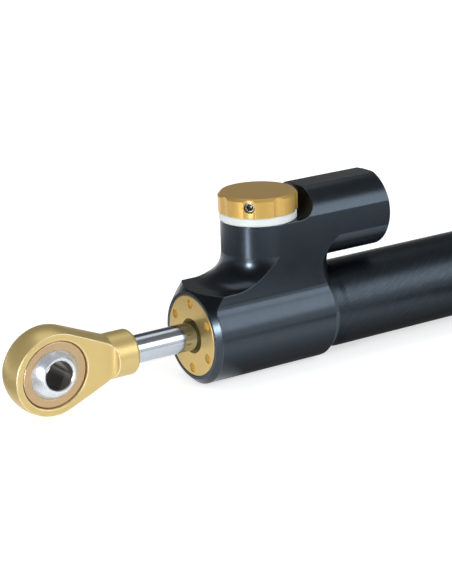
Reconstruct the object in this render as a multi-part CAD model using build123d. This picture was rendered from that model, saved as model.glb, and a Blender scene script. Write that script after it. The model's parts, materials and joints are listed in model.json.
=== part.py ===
from build123d import *
from math import acos, atan2, cos, hypot, radians, sin, sqrt, tan
import os

os.makedirs("parts", exist_ok=True)

# Motorcycle steering damper: a rod with a spherical bearing slides in a tube, and a
# milled head block carries the rod gland, the damping knob and an oil reservoir.
# Lengths are millimetres. The origin is the centre of the bearing ball, X runs along
# the damper from the rod eye to the tube's closed end, and Z points to the knob.

# Clearances and shared sizes
cut_overrun = 1.0
seat_gap = 0.02
running_gap = 0.03
sliding_gap = 0.04
turning_gap = 0.12
stop_gap = 0.4
joint_overlap = 0.5
groove_width_share = 1.3
hexagon_sides = 6

# Rod and stroke
rod_radius = 4.0
rod_end_chamfer = 0.4
stroke = 75.0
stroke_left_to_close = 5.0
eye_to_cap = 45.3

# Tube and its closed end
tube_radius = 12.5
tube_wall = 2.5
tube_seat_step = 0.3
tube_shoulder_gap = 0.2
tube_shoulder_length = 1.7
tube_groove_depth = 1.0
tube_groove_setback = 6.0
plug_length = 10.0
plug_flange_length = 3.0
plug_flange_step = 0.2
plug_edge_chamfer = 0.8
plug_hollow_wall = 1.95
plug_hollow_depth = 5.0
plug_groove_depth = 1.2

# Head block: barrel, flat-sided neck and tower
barrel_wall = 1.5
barrel_rear_reach = 10.1
barrel_rear_chamfer = 2.2
barrel_rear_lip = 0.15
front_lip_width = 1.5
neck_half_width = 10.74
neck_fillet = 5.0
floor_drop = 1.05
flare_radius = 8.0
tower_rise = 17.0
knob_setback = 3.6
web_setback = 8.5
web_waist_bulge = 1.36
web_waist_rise = 2.9
web_lower_arc_radius = 17.5
web_lower_reach = 9.0
web_upper_arc_radius = 10.0
web_upper_reach = 8.5

# Head block: reservoir and the clearance for the knob
reservoir_axis_drop = 2.95
reservoir_bulge = 0.56
reservoir_flat_wall = 1.14
reservoir_facet_depth = 0.75
reservoir_edge_chamfer = 0.6
reservoir_front_wall = 3.7
reservoir_oil_room = 0.86
knob_wall_gap = 1.39
knob_wall_fillet = 5.5
knob_pocket_gap = 0.6

# Gland: the gold cap and what it holds round the rod
cap_rim_gap = 0.91
cap_length = 7.0
cap_edge_chamfer = 0.25
cap_mouth_gap = 1.0
cap_boss_length = 11.0
cap_to_tube_gap = 2.1
cap_pin_hole_radius = 1.35
cap_pin_hole_depth = 3.0
cap_pin_hole_inset = 2.29
cap_pin_hole_count = 6
gland_land_gap = 0.3
gland_land_length = 0.8
gland_groove_depth = 1.2
wiper_width_share = 0.4
wiper_length = 2.2
wiper_lip_length = 0.8
seal_width_share = 0.435
seal_length = 3.0
seal_wall_share = 0.33
bush_wall_share = 0.2

# Rod eye and its spherical bearing
ball_radius = 7.94
ball_half_width = 6.3
ball_bore_radius = 4.0
ball_bore_chamfer = 0.35
race_wall = 1.81
race_recess = 0.45
race_edge_chamfer = 0.5
eye_wall = 2.65
eye_half_thickness = 4.05
eye_bore_chamfer = 0.2
eye_length = 25.3
eye_roll = 6.0
taper_setback = 8.0
neck_length = 9.1
neck_radius = 6.38
neck_edge_radius = 1.3
neck_ramp_length = 2.25
rod_stud_step = 1.0
rod_stud_length = 10.0

# Piston on the inner end of the rod
piston_length = 8.0
piston_rim_gap = 0.25
piston_band_width = 3.4
piston_band_depth = 1.2
piston_port_radius_share = 0.12
piston_port_circle_share = 0.62
piston_port_count = 4
shim_thickness = 0.4
shim_radius_shares = (0.82, 0.66)
piston_stud_step = 1.5
piston_nut_wall = 1.5
piston_nut_length = 4.0
piston_nut_chamfer = 0.6
stud_stick_out = 1.0

# Damping adjuster under the knob, with lengths as shares of its bore's depth
port_radius = 1.3
adjuster_floor_wall = 1.5
valve_seat_share = 0.4
spindle_skirt_share = 0.3
spindle_bush_share = 0.185
valve_mouth_share = 0.31
valve_cup_floor_share = 0.47
needle_slope = 0.8
needle_tip_radius = 0.4
needle_seat_gap = 0.06
needle_collar_share = 0.59
needle_collar_gap = 0.1
needle_engagement_share = 0.58
needle_thread_pitch = 1.0
needle_stud_step = 0.2
valve_cup_step = 0.2
valve_key_reach = 1.0
valve_seat_wall = 1.7
knob_turn_each_way = 165.0
oil_way_share = 0.5
spindle_radius = 3.0
spindle_skirt_gap = 0.6
spindle_socket_share = 0.81
spindle_groove_depth = 1.1
spindle_flat_depth = 0.5

# Knob, index ring and detent
knob_overhang = 0.47
knob_height = 5.37
knob_roof = 1.77
knob_edge_chamfer = 0.8
scallop_count = 8
scallop_radius = 4.5
scallop_depth = 0.5
knob_screw_angle = -136.9
knob_screw_radius = 1.5
knob_screw_sink = 0.6
knob_screw_height_share = 0.54
knob_screw_socket_radius = 0.87
knob_screw_socket_depth = 1.4
index_ring_height = 2.39
index_ring_overhang = 0.19
index_ring_bore_gap = 0.3
index_ring_edge = 0.3
boss_to_knob_gap = 0.28
boss_setback = 2.34
detent_ball_share = 0.295
detent_angle = 200.0
detent_groove_depth = 0.4
detent_notch_depth = 0.25
detent_notch_count = 20
detent_spring_wire_radius = 0.2
detent_spring_length = 2.6

# Parts in the reservoir
reservoir_cap_length = 2.6
reservoir_cap_groove_depth = 1.0
reservoir_cap_pin_radius = 0.9
reservoir_cap_pin_depth = 1.2
reservoir_cap_pin_circle_share = 0.625
circlip_thickness = 0.9
circlip_grip = 0.5
circlip_width = 1.7
circlip_gap_angle = 40.0
circlip_setback = 0.5
free_piston_length = 4.0
free_piston_groove_depth = 1.0
free_piston_hollow_share = 0.57
free_piston_hollow_depth = 1.2
fill_screw_radius = 2.0
fill_screw_head_radius = 3.4
fill_screw_head_length = 1.1
fill_screw_socket_radius = 1.2
fill_screw_socket_depth = 1.0

# Radii that follow from the sizes above
tube_bore_radius = tube_radius - tube_wall
tube_seat_radius = tube_radius - tube_seat_step
plug_flange_radius = tube_radius - plug_flange_step
barrel_radius = tube_radius + barrel_wall
front_lip_radius = barrel_radius - front_lip_width
cap_radius = front_lip_radius - cap_rim_gap
cap_boss_radius = tube_bore_radius - seat_gap
cap_pin_circle_radius = cap_radius - cap_pin_hole_inset
cap_mouth_radius = rod_radius + cap_mouth_gap
plug_hollow_radius = cap_pin_circle_radius - cap_pin_hole_radius - plug_hollow_wall
gland_land_radius = rod_radius + gland_land_gap
gland_room = cap_boss_radius - rod_radius
wiper_pocket_radius = rod_radius + wiper_width_share * gland_room
seal_pocket_radius = rod_radius + seal_width_share * gland_room
bush_radius = rod_radius + bush_wall_share * gland_room
rod_stud_radius = rod_radius - rod_stud_step
piston_stud_radius = rod_radius - piston_stud_step
piston_nut_flats = 2 * (piston_stud_radius + piston_nut_wall)
shim_radii = [share * tube_bore_radius for share in shim_radius_shares]
race_radius = ball_radius + race_wall
race_half_width = eye_half_thickness - race_recess
eye_radius = race_radius + eye_wall
web_waist_radius = neck_half_width + web_waist_bulge
knob_radius = neck_half_width + knob_overhang
index_ring_radius = neck_half_width + index_ring_overhang
tower_boss_radius = neck_half_width - boss_setback
reservoir_radius = neck_half_width + reservoir_bulge
reservoir_bore_radius = neck_half_width - reservoir_flat_wall
reservoir_ratio = (rod_radius / reservoir_bore_radius) ** 2

# Heights that follow, from the tube's axis upwards
floor_height = barrel_radius - floor_drop
tower_height = floor_height + tower_rise
web_waist_height = tube_radius + web_waist_rise
reservoir_height = tower_height - reservoir_axis_drop
reservoir_top_height = reservoir_height + reservoir_radius - reservoir_facet_depth
index_ring_bottom = tower_height + seat_gap
index_ring_top = index_ring_bottom + index_ring_height
knob_gap_height = index_ring_top + turning_gap
knob_top = knob_gap_height + knob_height
knob_screw_height = knob_gap_height + knob_screw_height_share * knob_height
boss_top_height = knob_gap_height - boss_to_knob_gap

# Stack of the adjuster in its bore, from the valve seat up to the spindle
adjuster_floor_height = tube_radius + adjuster_floor_wall
adjuster_depth = tower_height - adjuster_floor_height
valve_seat_bottom = adjuster_floor_height + seat_gap
valve_seat_length = valve_seat_share * adjuster_depth
valve_seat_top = valve_seat_bottom + valve_seat_length
valve_mouth_height = valve_seat_bottom + valve_mouth_share * valve_seat_length
valve_cup_floor_height = valve_seat_bottom + valve_cup_floor_share * valve_seat_length
valve_cup_depth = valve_seat_top - valve_cup_floor_height
valve_mouth_radius = port_radius + needle_slope * (valve_cup_floor_height - valve_mouth_height)
valve_cup_half_width = valve_mouth_radius + valve_cup_step
valve_cup_radius = valve_cup_half_width + valve_key_reach
adjuster_bore_radius = valve_cup_radius + valve_seat_wall
needle_stud_radius = valve_cup_half_width - needle_stud_step
spindle_skirt_radius = adjuster_bore_radius - spindle_skirt_gap
spindle_skirt_length = spindle_skirt_share * adjuster_depth
spindle_skirt_top = tower_height - spindle_bush_share * adjuster_depth
spindle_skirt_bottom = spindle_skirt_top - spindle_skirt_length
spindle_bush_bottom = spindle_skirt_top + turning_gap
spindle_groove_height = (spindle_bush_bottom + boss_top_height) / 2
spindle_top = knob_top - knob_roof
oil_way_height = (valve_seat_top + spindle_skirt_bottom) / 2
oil_way_radius = oil_way_share * (spindle_skirt_bottom - valve_seat_top)
half_lift = needle_thread_pitch * knob_turn_each_way / 360

# Click detent, in the land between the adjuster's bore and the boss's rim
detent_circle_radius = (adjuster_bore_radius + tower_boss_radius) / 2
detent_ball_radius = detent_ball_share * (tower_boss_radius - adjuster_bore_radius)
detent_ball_height = knob_gap_height + detent_groove_depth - turning_gap - detent_ball_radius

# Places along X that follow, from the eye to the tube's closed end
neck_ramp_start = eye_length - neck_length
taper_end_x = eye_length - taper_setback
cap_x = eye_to_cap
cap_boss_end_x = cap_x + cap_length + cap_boss_length
tube_front_x = cap_boss_end_x + cap_to_tube_gap
knob_x = tube_front_x + knob_setback
web_axis_x = knob_x + web_setback
head_end_x = web_axis_x + barrel_rear_reach
tube_shoulder_x = web_axis_x + web_waist_radius + tube_shoulder_gap
knob_wall_x = knob_x + knob_radius + knob_wall_gap
reservoir_front_x = knob_wall_x + reservoir_front_wall
free_piston_x = reservoir_front_x + reservoir_oil_room + reservoir_ratio * (
    stroke - stroke_left_to_close
)
reservoir_cap_x = (
    free_piston_x + free_piston_length + reservoir_ratio * stroke_left_to_close + stop_gap
)
circlip_x = reservoir_cap_x + reservoir_cap_length + seat_gap
reservoir_end_x = circlip_x + circlip_thickness + circlip_setback
shim_stack = shim_thickness * len(shim_radii)
rod_shoulder_x = tube_front_x + stop_gap + stroke - stroke_left_to_close
piston_x = rod_shoulder_x + shim_stack
rod_end_x = piston_x + piston_length + shim_stack + piston_nut_length + stud_stick_out
plug_x = rod_end_x + stroke_left_to_close + stop_gap
tube_end_x = plug_x + plug_length


def turned(outline, height=0.0):
    """A solid turned about a line along X, from points of (place on X, radius)."""
    face = Plane.XZ * make_face(Polyline(*outline, close=True))
    return Pos(0, 0, height) * revolve(face, Axis.X)


def turned_upright(outline, place=0.0):
    """A solid turned about an upright line, from points of (radius, height)."""
    face = Plane.XZ * make_face(Polyline(*outline, close=True))
    return Pos(place, 0, 0) * revolve(face, Axis.Z)


def bar(radius, start, end, height=0.0):
    """A round bar along X."""
    return Pos((start + end) / 2, 0, height) * Rot(0, 90, 0) * Cylinder(radius, end - start)


def post(radius, bottom, top, place=0.0, side=0.0):
    """A round bar along Z."""
    return Pos(place, side, (bottom + top) / 2) * Cylinder(radius, top - bottom)


def block(start, end, half_width, bottom, top):
    """A rectangular block centred on the damper's upright plane."""
    centre = Pos((start + end) / 2, 0, (bottom + top) / 2)
    return centre * Box(end - start, 2 * half_width, top - bottom)


def o_ring_section(floor_radius, bore_radius):
    """Section radius of the ring that fills a groove between floor and bore."""
    return (bore_radius - floor_radius) / 2 - seat_gap


def o_ring(floor_radius, bore_radius, place, height=0.0):
    """A round seal on a line along X."""
    section = o_ring_section(floor_radius, bore_radius)
    return Pos(place, 0, height) * Rot(0, 90, 0) * Torus((floor_radius + bore_radius) / 2, section)


def groove_half_width(floor_radius, bore_radius):
    """Half the width of the groove that holds such a ring."""
    return o_ring_section(floor_radius, bore_radius) * groove_width_share


def barrel_section(top):
    """Cross-section of the round barrel with its flat-sided neck, filleted together."""
    neck = Pos(0, top / 2) * Rectangle(2 * neck_half_width, top)
    section = Circle(barrel_radius) + neck
    junctions = section.vertices().sort_by(Axis.Y)[-4:-2]
    return fillet(junctions, neck_fillet)


def tower_foot():
    """The tower's foot in front, flared by a round-cornered cutter round the knob axis."""
    tower_radius = neck_half_width
    foot_radius = tower_radius + flare_radius
    start = (foot_radius, floor_height)
    end = (tower_radius, floor_height + flare_radius)
    outline = [
        Line((0, 0), (foot_radius, 0)),
        Line((foot_radius, 0), start),
        TangentArc(start, end, tangent=(-1, 0)),
        Line(end, (0, floor_height + flare_radius)),
        Line((0, floor_height + flare_radius), (0, 0)),
    ]
    flare = revolve(Plane.XZ * make_face(outline), Axis.Z)
    sides = block(-foot_radius, 0, neck_half_width, 0, tower_height)
    return Pos(knob_x, 0, 0) * (flare & sides)


def arc_set_back(radius, reach):
    """How far an arc has come away from its upright tangent after this reach."""
    return radius - sqrt(radius**2 - reach**2)


def web_waist():
    """The hourglass that bounds the rear of the web between barrel and reservoir."""
    low = web_waist_height - web_lower_reach
    high = web_waist_height + web_upper_reach
    waist = (web_waist_radius, web_waist_height)
    foot = (web_waist_radius + arc_set_back(web_lower_arc_radius, web_lower_reach), low)
    head = (web_waist_radius + arc_set_back(web_upper_arc_radius, web_upper_reach), high)
    outline = [
        Line((0, low), foot),
        TangentArc(waist, foot, tangent=(0, -1)),
        TangentArc(waist, head, tangent=(0, 1)),
        Line(head, (0, high)),
        Line((0, high), (0, low)),
    ]
    return Pos(web_axis_x, 0, 0) * revolve(Plane.XZ * make_face(outline), Axis.Z)


def front_cone():
    """The turned front edge: everything outside a 45 degree cone is removed."""
    reach = hypot(neck_half_width, floor_height) - front_lip_radius + cut_overrun
    return turned([
        (cap_x - cut_overrun, front_lip_radius - cut_overrun),
        (cap_x - cut_overrun, front_lip_radius + reach),
        (cap_x + reach, front_lip_radius + reach),
    ])


def barrel_end():
    """The barrel's rear stretch, with a turned chamfer down to the tube."""
    lip = tube_radius + barrel_rear_lip
    return turned([
        (web_axis_x, 0),
        (web_axis_x, barrel_radius),
        (head_end_x - barrel_rear_chamfer, barrel_radius),
        (head_end_x, lip),
        (head_end_x, 0),
    ])


def head_outside():
    """The head block's outer form: barrel, neck, tower, web and reservoir bar."""
    section = barrel_section(reservoir_height)
    front = extrude(Plane.YZ.offset(cap_x) * section, web_axis_x - cap_x)
    above_floor = block(
        cap_x - cut_overrun, knob_x, barrel_radius, floor_height, reservoir_height + cut_overrun
    )
    front -= above_floor + front_cone()
    rear = extrude(Plane.YZ.offset(web_axis_x) * section, reservoir_end_x - web_axis_x)
    rear = rear & (web_waist() + barrel_end())
    tower = post(neck_half_width, 0, tower_height, knob_x)
    reservoir = bar(reservoir_radius, knob_x, reservoir_end_x, reservoir_height)
    rim = reservoir.edges().filter_by(GeomType.CIRCLE).sort_by(Axis.X)[-1]
    reservoir = chamfer(rim, reservoir_edge_chamfer)
    reservoir &= block(knob_x, reservoir_end_x, neck_half_width, 0, reservoir_top_height)
    return front + tower_foot() + tower + rear + reservoir


def knob_pocket():
    """Room for the knob in the front of the reservoir: a milled step and a bored seat."""
    top = reservoir_top_height + 2 * cut_overrun
    step = block(knob_x - knob_radius, knob_wall_x, barrel_radius, tower_height, top)
    lower_edges = step.edges().filter_by(Axis.Y).group_by(Axis.Z)[0]
    step = fillet(lower_edges.sort_by(Axis.X)[-1], knob_wall_fillet)
    return step + post(knob_radius + knob_pocket_gap, tower_height, top, knob_x)


def head_bores():
    """Bores for the gland, the tube, the adjuster and the reservoir, with their oil ways."""
    gland_bore = turned([
        (cap_x - cut_overrun, 0),
        (cap_x - cut_overrun, cap_radius + seat_gap),
        (cap_x + cap_length, cap_radius + seat_gap),
        (cap_x + cap_length, cap_boss_radius + seat_gap),
        (tube_front_x - seat_gap, cap_boss_radius + seat_gap),
        (tube_front_x - seat_gap, tube_seat_radius + seat_gap),
        (reservoir_end_x, tube_seat_radius + seat_gap),
        (reservoir_end_x, 0),
    ])
    adjuster_bore = post(
        adjuster_bore_radius, adjuster_floor_height, boss_top_height + cut_overrun, knob_x
    )
    port = post(port_radius, 0, adjuster_floor_height + cut_overrun, knob_x)
    oil_way = bar(oil_way_radius, knob_x, reservoir_front_x + cut_overrun, oil_way_height)
    reservoir_bore = bar(
        reservoir_bore_radius, reservoir_front_x, reservoir_end_x + cut_overrun, reservoir_height
    )
    circlip_groove = bar(
        reservoir_bore_radius + circlip_grip, circlip_x - seat_gap,
        circlip_x + circlip_thickness + seat_gap, reservoir_height,
    )
    return gland_bore + adjuster_bore + port + oil_way + reservoir_bore + circlip_groove


def detent_place():
    """Place of the click detent on the tower's top."""
    angle = radians(detent_angle)
    return knob_x + detent_circle_radius * cos(angle), detent_circle_radius * sin(angle)


def head_block():
    """The black milled block at the rod's end of the tube."""
    boss = post(tower_boss_radius, tower_height - joint_overlap, boss_top_height, knob_x)
    body = (head_outside() - knob_pocket()) + boss
    place, side = detent_place()
    pocket_bottom = detent_ball_height - detent_ball_radius - detent_spring_length - seat_gap
    pocket = post(
        detent_ball_radius + running_gap, pocket_bottom, boss_top_height + cut_overrun, place, side
    )
    return body - head_bores() - pocket


def cylinder_tube():
    """The tube that the piston runs in: it tapers a little to its seat in the head."""
    shell = turned([
        (tube_front_x, tube_bore_radius),
        (tube_front_x, tube_seat_radius),
        (tube_shoulder_x, tube_seat_radius),
        (tube_shoulder_x + tube_shoulder_length, tube_radius),
        (tube_end_x, tube_radius),
        (tube_end_x, tube_bore_radius),
    ])
    floor_radius = tube_seat_radius - tube_groove_depth
    half = groove_half_width(floor_radius, tube_seat_radius)
    place = head_end_x - tube_groove_setback
    groove = bar(tube_radius + cut_overrun, place - half, place + half)
    groove -= bar(floor_radius, place - half, place + half)
    return shell - groove - post(port_radius, 0, 2 * tube_radius, knob_x)


def tube_o_ring():
    """Seal between tube and head block."""
    place = head_end_x - tube_groove_setback
    return o_ring(tube_seat_radius - tube_groove_depth, tube_seat_radius + seat_gap, place)


def rear_plug():
    """Screwed plug that closes the tube, with spanner holes in its flange."""
    body_radius = tube_bore_radius - seat_gap
    flange_start = tube_end_x + seat_gap
    end = flange_start + plug_flange_length
    middle = plug_x + plug_length / 2
    floor_radius = body_radius - plug_groove_depth
    half = groove_half_width(floor_radius, tube_bore_radius)
    plug = turned([
        (plug_x, 0),
        (plug_x, body_radius),
        (middle - half, body_radius),
        (middle - half, floor_radius),
        (middle + half, floor_radius),
        (middle + half, body_radius),
        (flange_start, body_radius),
        (flange_start, plug_flange_radius),
        (end - plug_edge_chamfer, plug_flange_radius),
        (end, plug_flange_radius - plug_edge_chamfer),
        (end, 0),
    ])
    hollow = bar(plug_hollow_radius, end - plug_hollow_depth, end + cut_overrun)
    holes = pin_holes(end - cap_pin_hole_depth, end + cut_overrun)
    return plug - hollow - holes


def pin_holes(start, end):
    """The ring of spanner holes that the gland cap and the rear plug share."""
    hole = Pos(0, 0, cap_pin_circle_radius) * bar(cap_pin_hole_radius, start, end)
    step = 360 / cap_pin_hole_count
    return Part() + [Rot(step * i, 0, 0) * hole for i in range(cap_pin_hole_count)]


def rear_plug_o_ring():
    """Seal round the rear plug."""
    floor_radius = tube_bore_radius - seat_gap - plug_groove_depth
    return o_ring(floor_radius, tube_bore_radius, plug_x + plug_length / 2)


def gland_places():
    """Places along X of the wiper, the seal and the bush in the gland cap."""
    wiper = cap_x + cap_pin_hole_depth + gland_land_length
    seal = wiper + wiper_length + gland_land_length
    bush = seal + seal_length + gland_land_length
    return wiper, seal, bush


def gland_groove_place():
    """Middle of the seal groove on the gland cap's boss."""
    return cap_x + cap_length + cap_boss_length / 2


def gland_cap():
    """Gold gland cap: a flanged plug with spanner holes that carries wiper, seal and bush."""
    wiper, seal, bush = gland_places()
    end = cap_boss_end_x
    outside = turned([
        (cap_x, 0),
        (cap_x, cap_radius - cap_edge_chamfer),
        (cap_x + cap_edge_chamfer, cap_radius),
        (cap_x + cap_length - seat_gap, cap_radius),
        (cap_x + cap_length - seat_gap, cap_boss_radius),
        (end, cap_boss_radius),
        (end, 0),
    ])
    inside = turned([
        (cap_x - cut_overrun, 0),
        (cap_x - cut_overrun, cap_mouth_radius),
        (wiper, cap_mouth_radius),
        (wiper, wiper_pocket_radius),
        (wiper + wiper_length, wiper_pocket_radius),
        (wiper + wiper_length, gland_land_radius),
        (seal, gland_land_radius),
        (seal, seal_pocket_radius),
        (seal + seal_length, seal_pocket_radius),
        (seal + seal_length, gland_land_radius),
        (bush, gland_land_radius),
        (bush, bush_radius + seat_gap),
        (end + cut_overrun, bush_radius + seat_gap),
        (end + cut_overrun, 0),
    ])
    floor_radius = cap_boss_radius - gland_groove_depth
    half = groove_half_width(floor_radius, cap_boss_radius + seat_gap)
    place = gland_groove_place()
    groove = bar(cap_radius, place - half, place + half) - bar(floor_radius, place - half, place + half)
    holes = pin_holes(cap_x - cut_overrun, cap_x + cap_pin_hole_depth)
    return outside - inside - groove - holes


def gland_o_ring():
    """Seal between gland cap and head block."""
    floor_radius = cap_boss_radius - gland_groove_depth
    return o_ring(floor_radius, cap_boss_radius + seat_gap, gland_groove_place())


def rod_wiper():
    """Wiper with a raised lip that keeps dirt off the rod."""
    wiper = gland_places()[0] + seat_gap
    end = wiper + wiper_length - 2 * seat_gap
    lip_radius = rod_radius + running_gap
    return turned([
        (wiper, lip_radius + (cap_mouth_radius - lip_radius) / 2),
        (wiper, wiper_pocket_radius - seat_gap),
        (end, wiper_pocket_radius - seat_gap),
        (end, cap_mouth_radius),
        (wiper + wiper_lip_length, cap_mouth_radius),
        (wiper + wiper_lip_length, lip_radius),
        (wiper + wiper_lip_length / 2, lip_radius),
    ])


def rod_seal():
    """Oil seal with a groove behind its lip."""
    seal = gland_places()[1] + seat_gap
    end = seal + seal_length - 2 * seat_gap
    lip_radius = rod_radius + running_gap
    outer_radius = seal_pocket_radius - seat_gap
    wall = (outer_radius - lip_radius) * seal_wall_share
    return turned([
        (seal, lip_radius),
        (seal, outer_radius),
        (end, outer_radius),
        (end, outer_radius - wall),
        ((seal + end) / 2, outer_radius - wall),
        ((seal + end) / 2, lip_radius + wall),
        (end, lip_radius + wall),
        (end, lip_radius),
    ])


def rod_bush():
    """Plain bearing bush that guides the rod."""
    start = gland_places()[2] + seat_gap
    return turned([
        (start, rod_radius + running_gap),
        (start, bush_radius),
        (cap_boss_end_x, bush_radius),
        (cap_boss_end_x, rod_radius + running_gap),
    ])


def eye_body():
    """The eye as turned: a round end whose sides taper to the neck."""
    reach = hypot(taper_end_x, neck_radius)
    angle = atan2(neck_radius, taper_end_x) + acos(eye_radius / reach)
    taper_start = (eye_radius * cos(angle), eye_radius * sin(angle))
    outline = make_face([
        TangentArc((-eye_radius, 0), taper_start, tangent=(0, 1)),
        Line(taper_start, (taper_end_x, neck_radius)),
        Line((taper_end_x, neck_radius), (eye_length, neck_radius)),
        Line((eye_length, neck_radius), (eye_length, 0)),
        Line((eye_length, 0), (-eye_radius, 0)),
    ])
    body = revolve(Plane.XZ * outline, Axis.X)
    rim = body.edges().filter_by(GeomType.CIRCLE).sort_by(Axis.X)[-1]
    return fillet(rim, neck_edge_radius)


def eye_flats():
    """What the milled flats leave: a slab that an arc runs out into the round neck."""
    start = -eye_radius - cut_overrun
    far = eye_length + cut_overrun
    flat_end = (neck_ramp_start, eye_half_thickness)
    ramp_end = (neck_ramp_start + neck_ramp_length, neck_radius)
    plan = make_face([
        Line((start, 0), (start, eye_half_thickness)),
        Line((start, eye_half_thickness), flat_end),
        TangentArc(flat_end, ramp_end, tangent=(1, 0)),
        Line(ramp_end, (far, neck_radius)),
        Line((far, neck_radius), (far, 0)),
        Line((far, 0), (start, 0)),
    ])
    plan += mirror(plan, Plane.XZ)
    return extrude(plan, eye_radius + cut_overrun, both=True)


def eye_bore():
    """The bore for the race, chamfered at both faces of the blade."""
    radius = race_radius + seat_gap
    face = eye_half_thickness
    wide = radius + eye_bore_chamfer + cut_overrun
    far = face + cut_overrun
    cutter = turned_upright([
        (0, -far),
        (wide, -far),
        (radius, eye_bore_chamfer - face),
        (radius, face - eye_bore_chamfer),
        (wide, far),
        (0, far),
    ])
    return Rot(90, 0, 0) * cutter


def rod_eye():
    """Gold rod end: turned, milled flat, and bored for the race and the rod's stud."""
    stud_bore = bar(
        rod_stud_radius + seat_gap, eye_length - rod_stud_length - seat_gap,
        eye_length + cut_overrun,
    )
    return Rot(eye_roll, 0, 0) * ((eye_body() & eye_flats()) - eye_bore() - stud_bore)


def bearing_race():
    """Bronze outer race of the spherical bearing."""
    ring = Rot(90, 0, 0) * Cylinder(race_radius, 2 * race_half_width)
    ring = chamfer(ring.edges().filter_by(GeomType.CIRCLE), race_edge_chamfer)
    return Rot(eye_roll, 0, 0) * (ring - Sphere(ball_radius + running_gap))


def bearing_ball():
    """Steel ball with flat faces and a bolt bore that stays square to the damper."""
    faces = Rot(90, 0, 0) * Cylinder(2 * ball_radius, 2 * ball_half_width)
    bore = Rot(90, 0, 0) * Cylinder(ball_bore_radius, 4 * ball_half_width)
    ball = (Sphere(ball_radius) & faces) - bore
    rims = ball.edges().filter_by(GeomType.CIRCLE).filter_by(
        lambda e: abs(e.radius - ball_bore_radius) < seat_gap
    )
    return chamfer(rims, ball_bore_chamfer)


def piston_rod():
    """Chromed rod with a stud at each end, for the eye and for the piston."""
    stud_start = eye_length - rod_stud_length
    return turned([
        (stud_start, 0),
        (stud_start, rod_stud_radius - rod_end_chamfer),
        (stud_start + rod_end_chamfer, rod_stud_radius),
        (eye_length + seat_gap, rod_stud_radius),
        (eye_length + seat_gap, rod_radius - rod_end_chamfer),
        (eye_length + seat_gap + rod_end_chamfer, rod_radius),
        (rod_shoulder_x, rod_radius),
        (rod_shoulder_x, piston_stud_radius),
        (rod_end_x - rod_end_chamfer, piston_stud_radius),
        (rod_end_x, piston_stud_radius - rod_end_chamfer),
        (rod_end_x, 0),
    ])


def piston():
    """Piston with a band groove and drilled oil ports."""
    radius = tube_bore_radius - piston_rim_gap
    start = piston_x + seat_gap
    end = piston_x + piston_length - seat_gap
    middle = (start + end) / 2
    floor_radius = tube_bore_radius - piston_band_depth
    half = piston_band_width / 2 + seat_gap
    body = turned([
        (start, piston_stud_radius + seat_gap),
        (start, radius),
        (middle - half, radius),
        (middle - half, floor_radius),
        (middle + half, floor_radius),
        (middle + half, radius),
        (end, radius),
        (end, piston_stud_radius + seat_gap),
    ])
    port_bar = bar(
        piston_port_radius_share * tube_bore_radius, start - cut_overrun, end + cut_overrun
    )
    port = Pos(0, 0, piston_port_circle_share * tube_bore_radius) * port_bar
    step = 360 / piston_port_count
    ports = Part() + [Rot(step * i, 0, 0) * port for i in range(piston_port_count)]
    return body - ports


def piston_ring():
    """Low-friction band between piston and tube."""
    middle = piston_x + piston_length / 2
    inner = tube_bore_radius - piston_band_depth + seat_gap
    outer = tube_bore_radius - sliding_gap
    half = piston_band_width / 2
    return turned([
        (middle - half, inner),
        (middle - half, outer),
        (middle + half, outer),
        (middle + half, inner),
    ])


def piston_shims():
    """Spring-steel discs that cover the ports, a stack on each side of the piston."""
    discs = []
    for i, radius in enumerate(shim_radii):
        front = piston_x - shim_thickness * (i + 1)
        rear = piston_x + piston_length + shim_thickness * i
        for start in (front, rear):
            disc = bar(radius, start + seat_gap / 2, start + shim_thickness - seat_gap / 2)
            hole = bar(piston_stud_radius + seat_gap, start, start + shim_thickness)
            discs.append(disc - hole)
    return Compound(discs)


def piston_nut():
    """Nut that clamps the piston and its shims on the rod."""
    start = piston_x + piston_length + shim_stack + seat_gap
    end = start + piston_nut_length
    hexagon = RegularPolygon(piston_nut_flats / 2, hexagon_sides, major_radius=False)
    nut = extrude(Plane.YZ.offset(start) * hexagon, piston_nut_length)
    corner = piston_nut_flats / 2 / cos(radians(180 / hexagon_sides))
    crown = turned([
        (start, 0),
        (start, corner),
        (end - piston_nut_chamfer, corner),
        (end, corner - piston_nut_chamfer),
        (end, 0),
    ])
    hole = bar(piston_stud_radius + seat_gap, start - cut_overrun, end + cut_overrun)
    return (nut & crown) - hole


def knob_scallops():
    """The finger scallops round the knob, one of them at the set screw."""
    cutter_place = knob_radius + scallop_radius - scallop_depth
    cutter = post(
        scallop_radius, knob_gap_height - cut_overrun, knob_top + cut_overrun, cutter_place
    )
    step = 360 / scallop_count
    return Part() + [
        Rot(0, 0, knob_screw_angle + step * i) * cutter for i in range(scallop_count)
    ]


def detent_notches():
    """The ring of shallow notches in the knob's underside that the ball clicks into."""
    ceiling = knob_gap_height + detent_groove_depth
    notch_centre = ceiling + detent_notch_depth - detent_ball_radius
    notch = Pos(detent_circle_radius, 0, notch_centre) * Sphere(detent_ball_radius)
    step = 360 / detent_notch_count
    return Part() + [
        Rot(0, 0, detent_angle + step * i) * notch for i in range(detent_notch_count)
    ]


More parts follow.
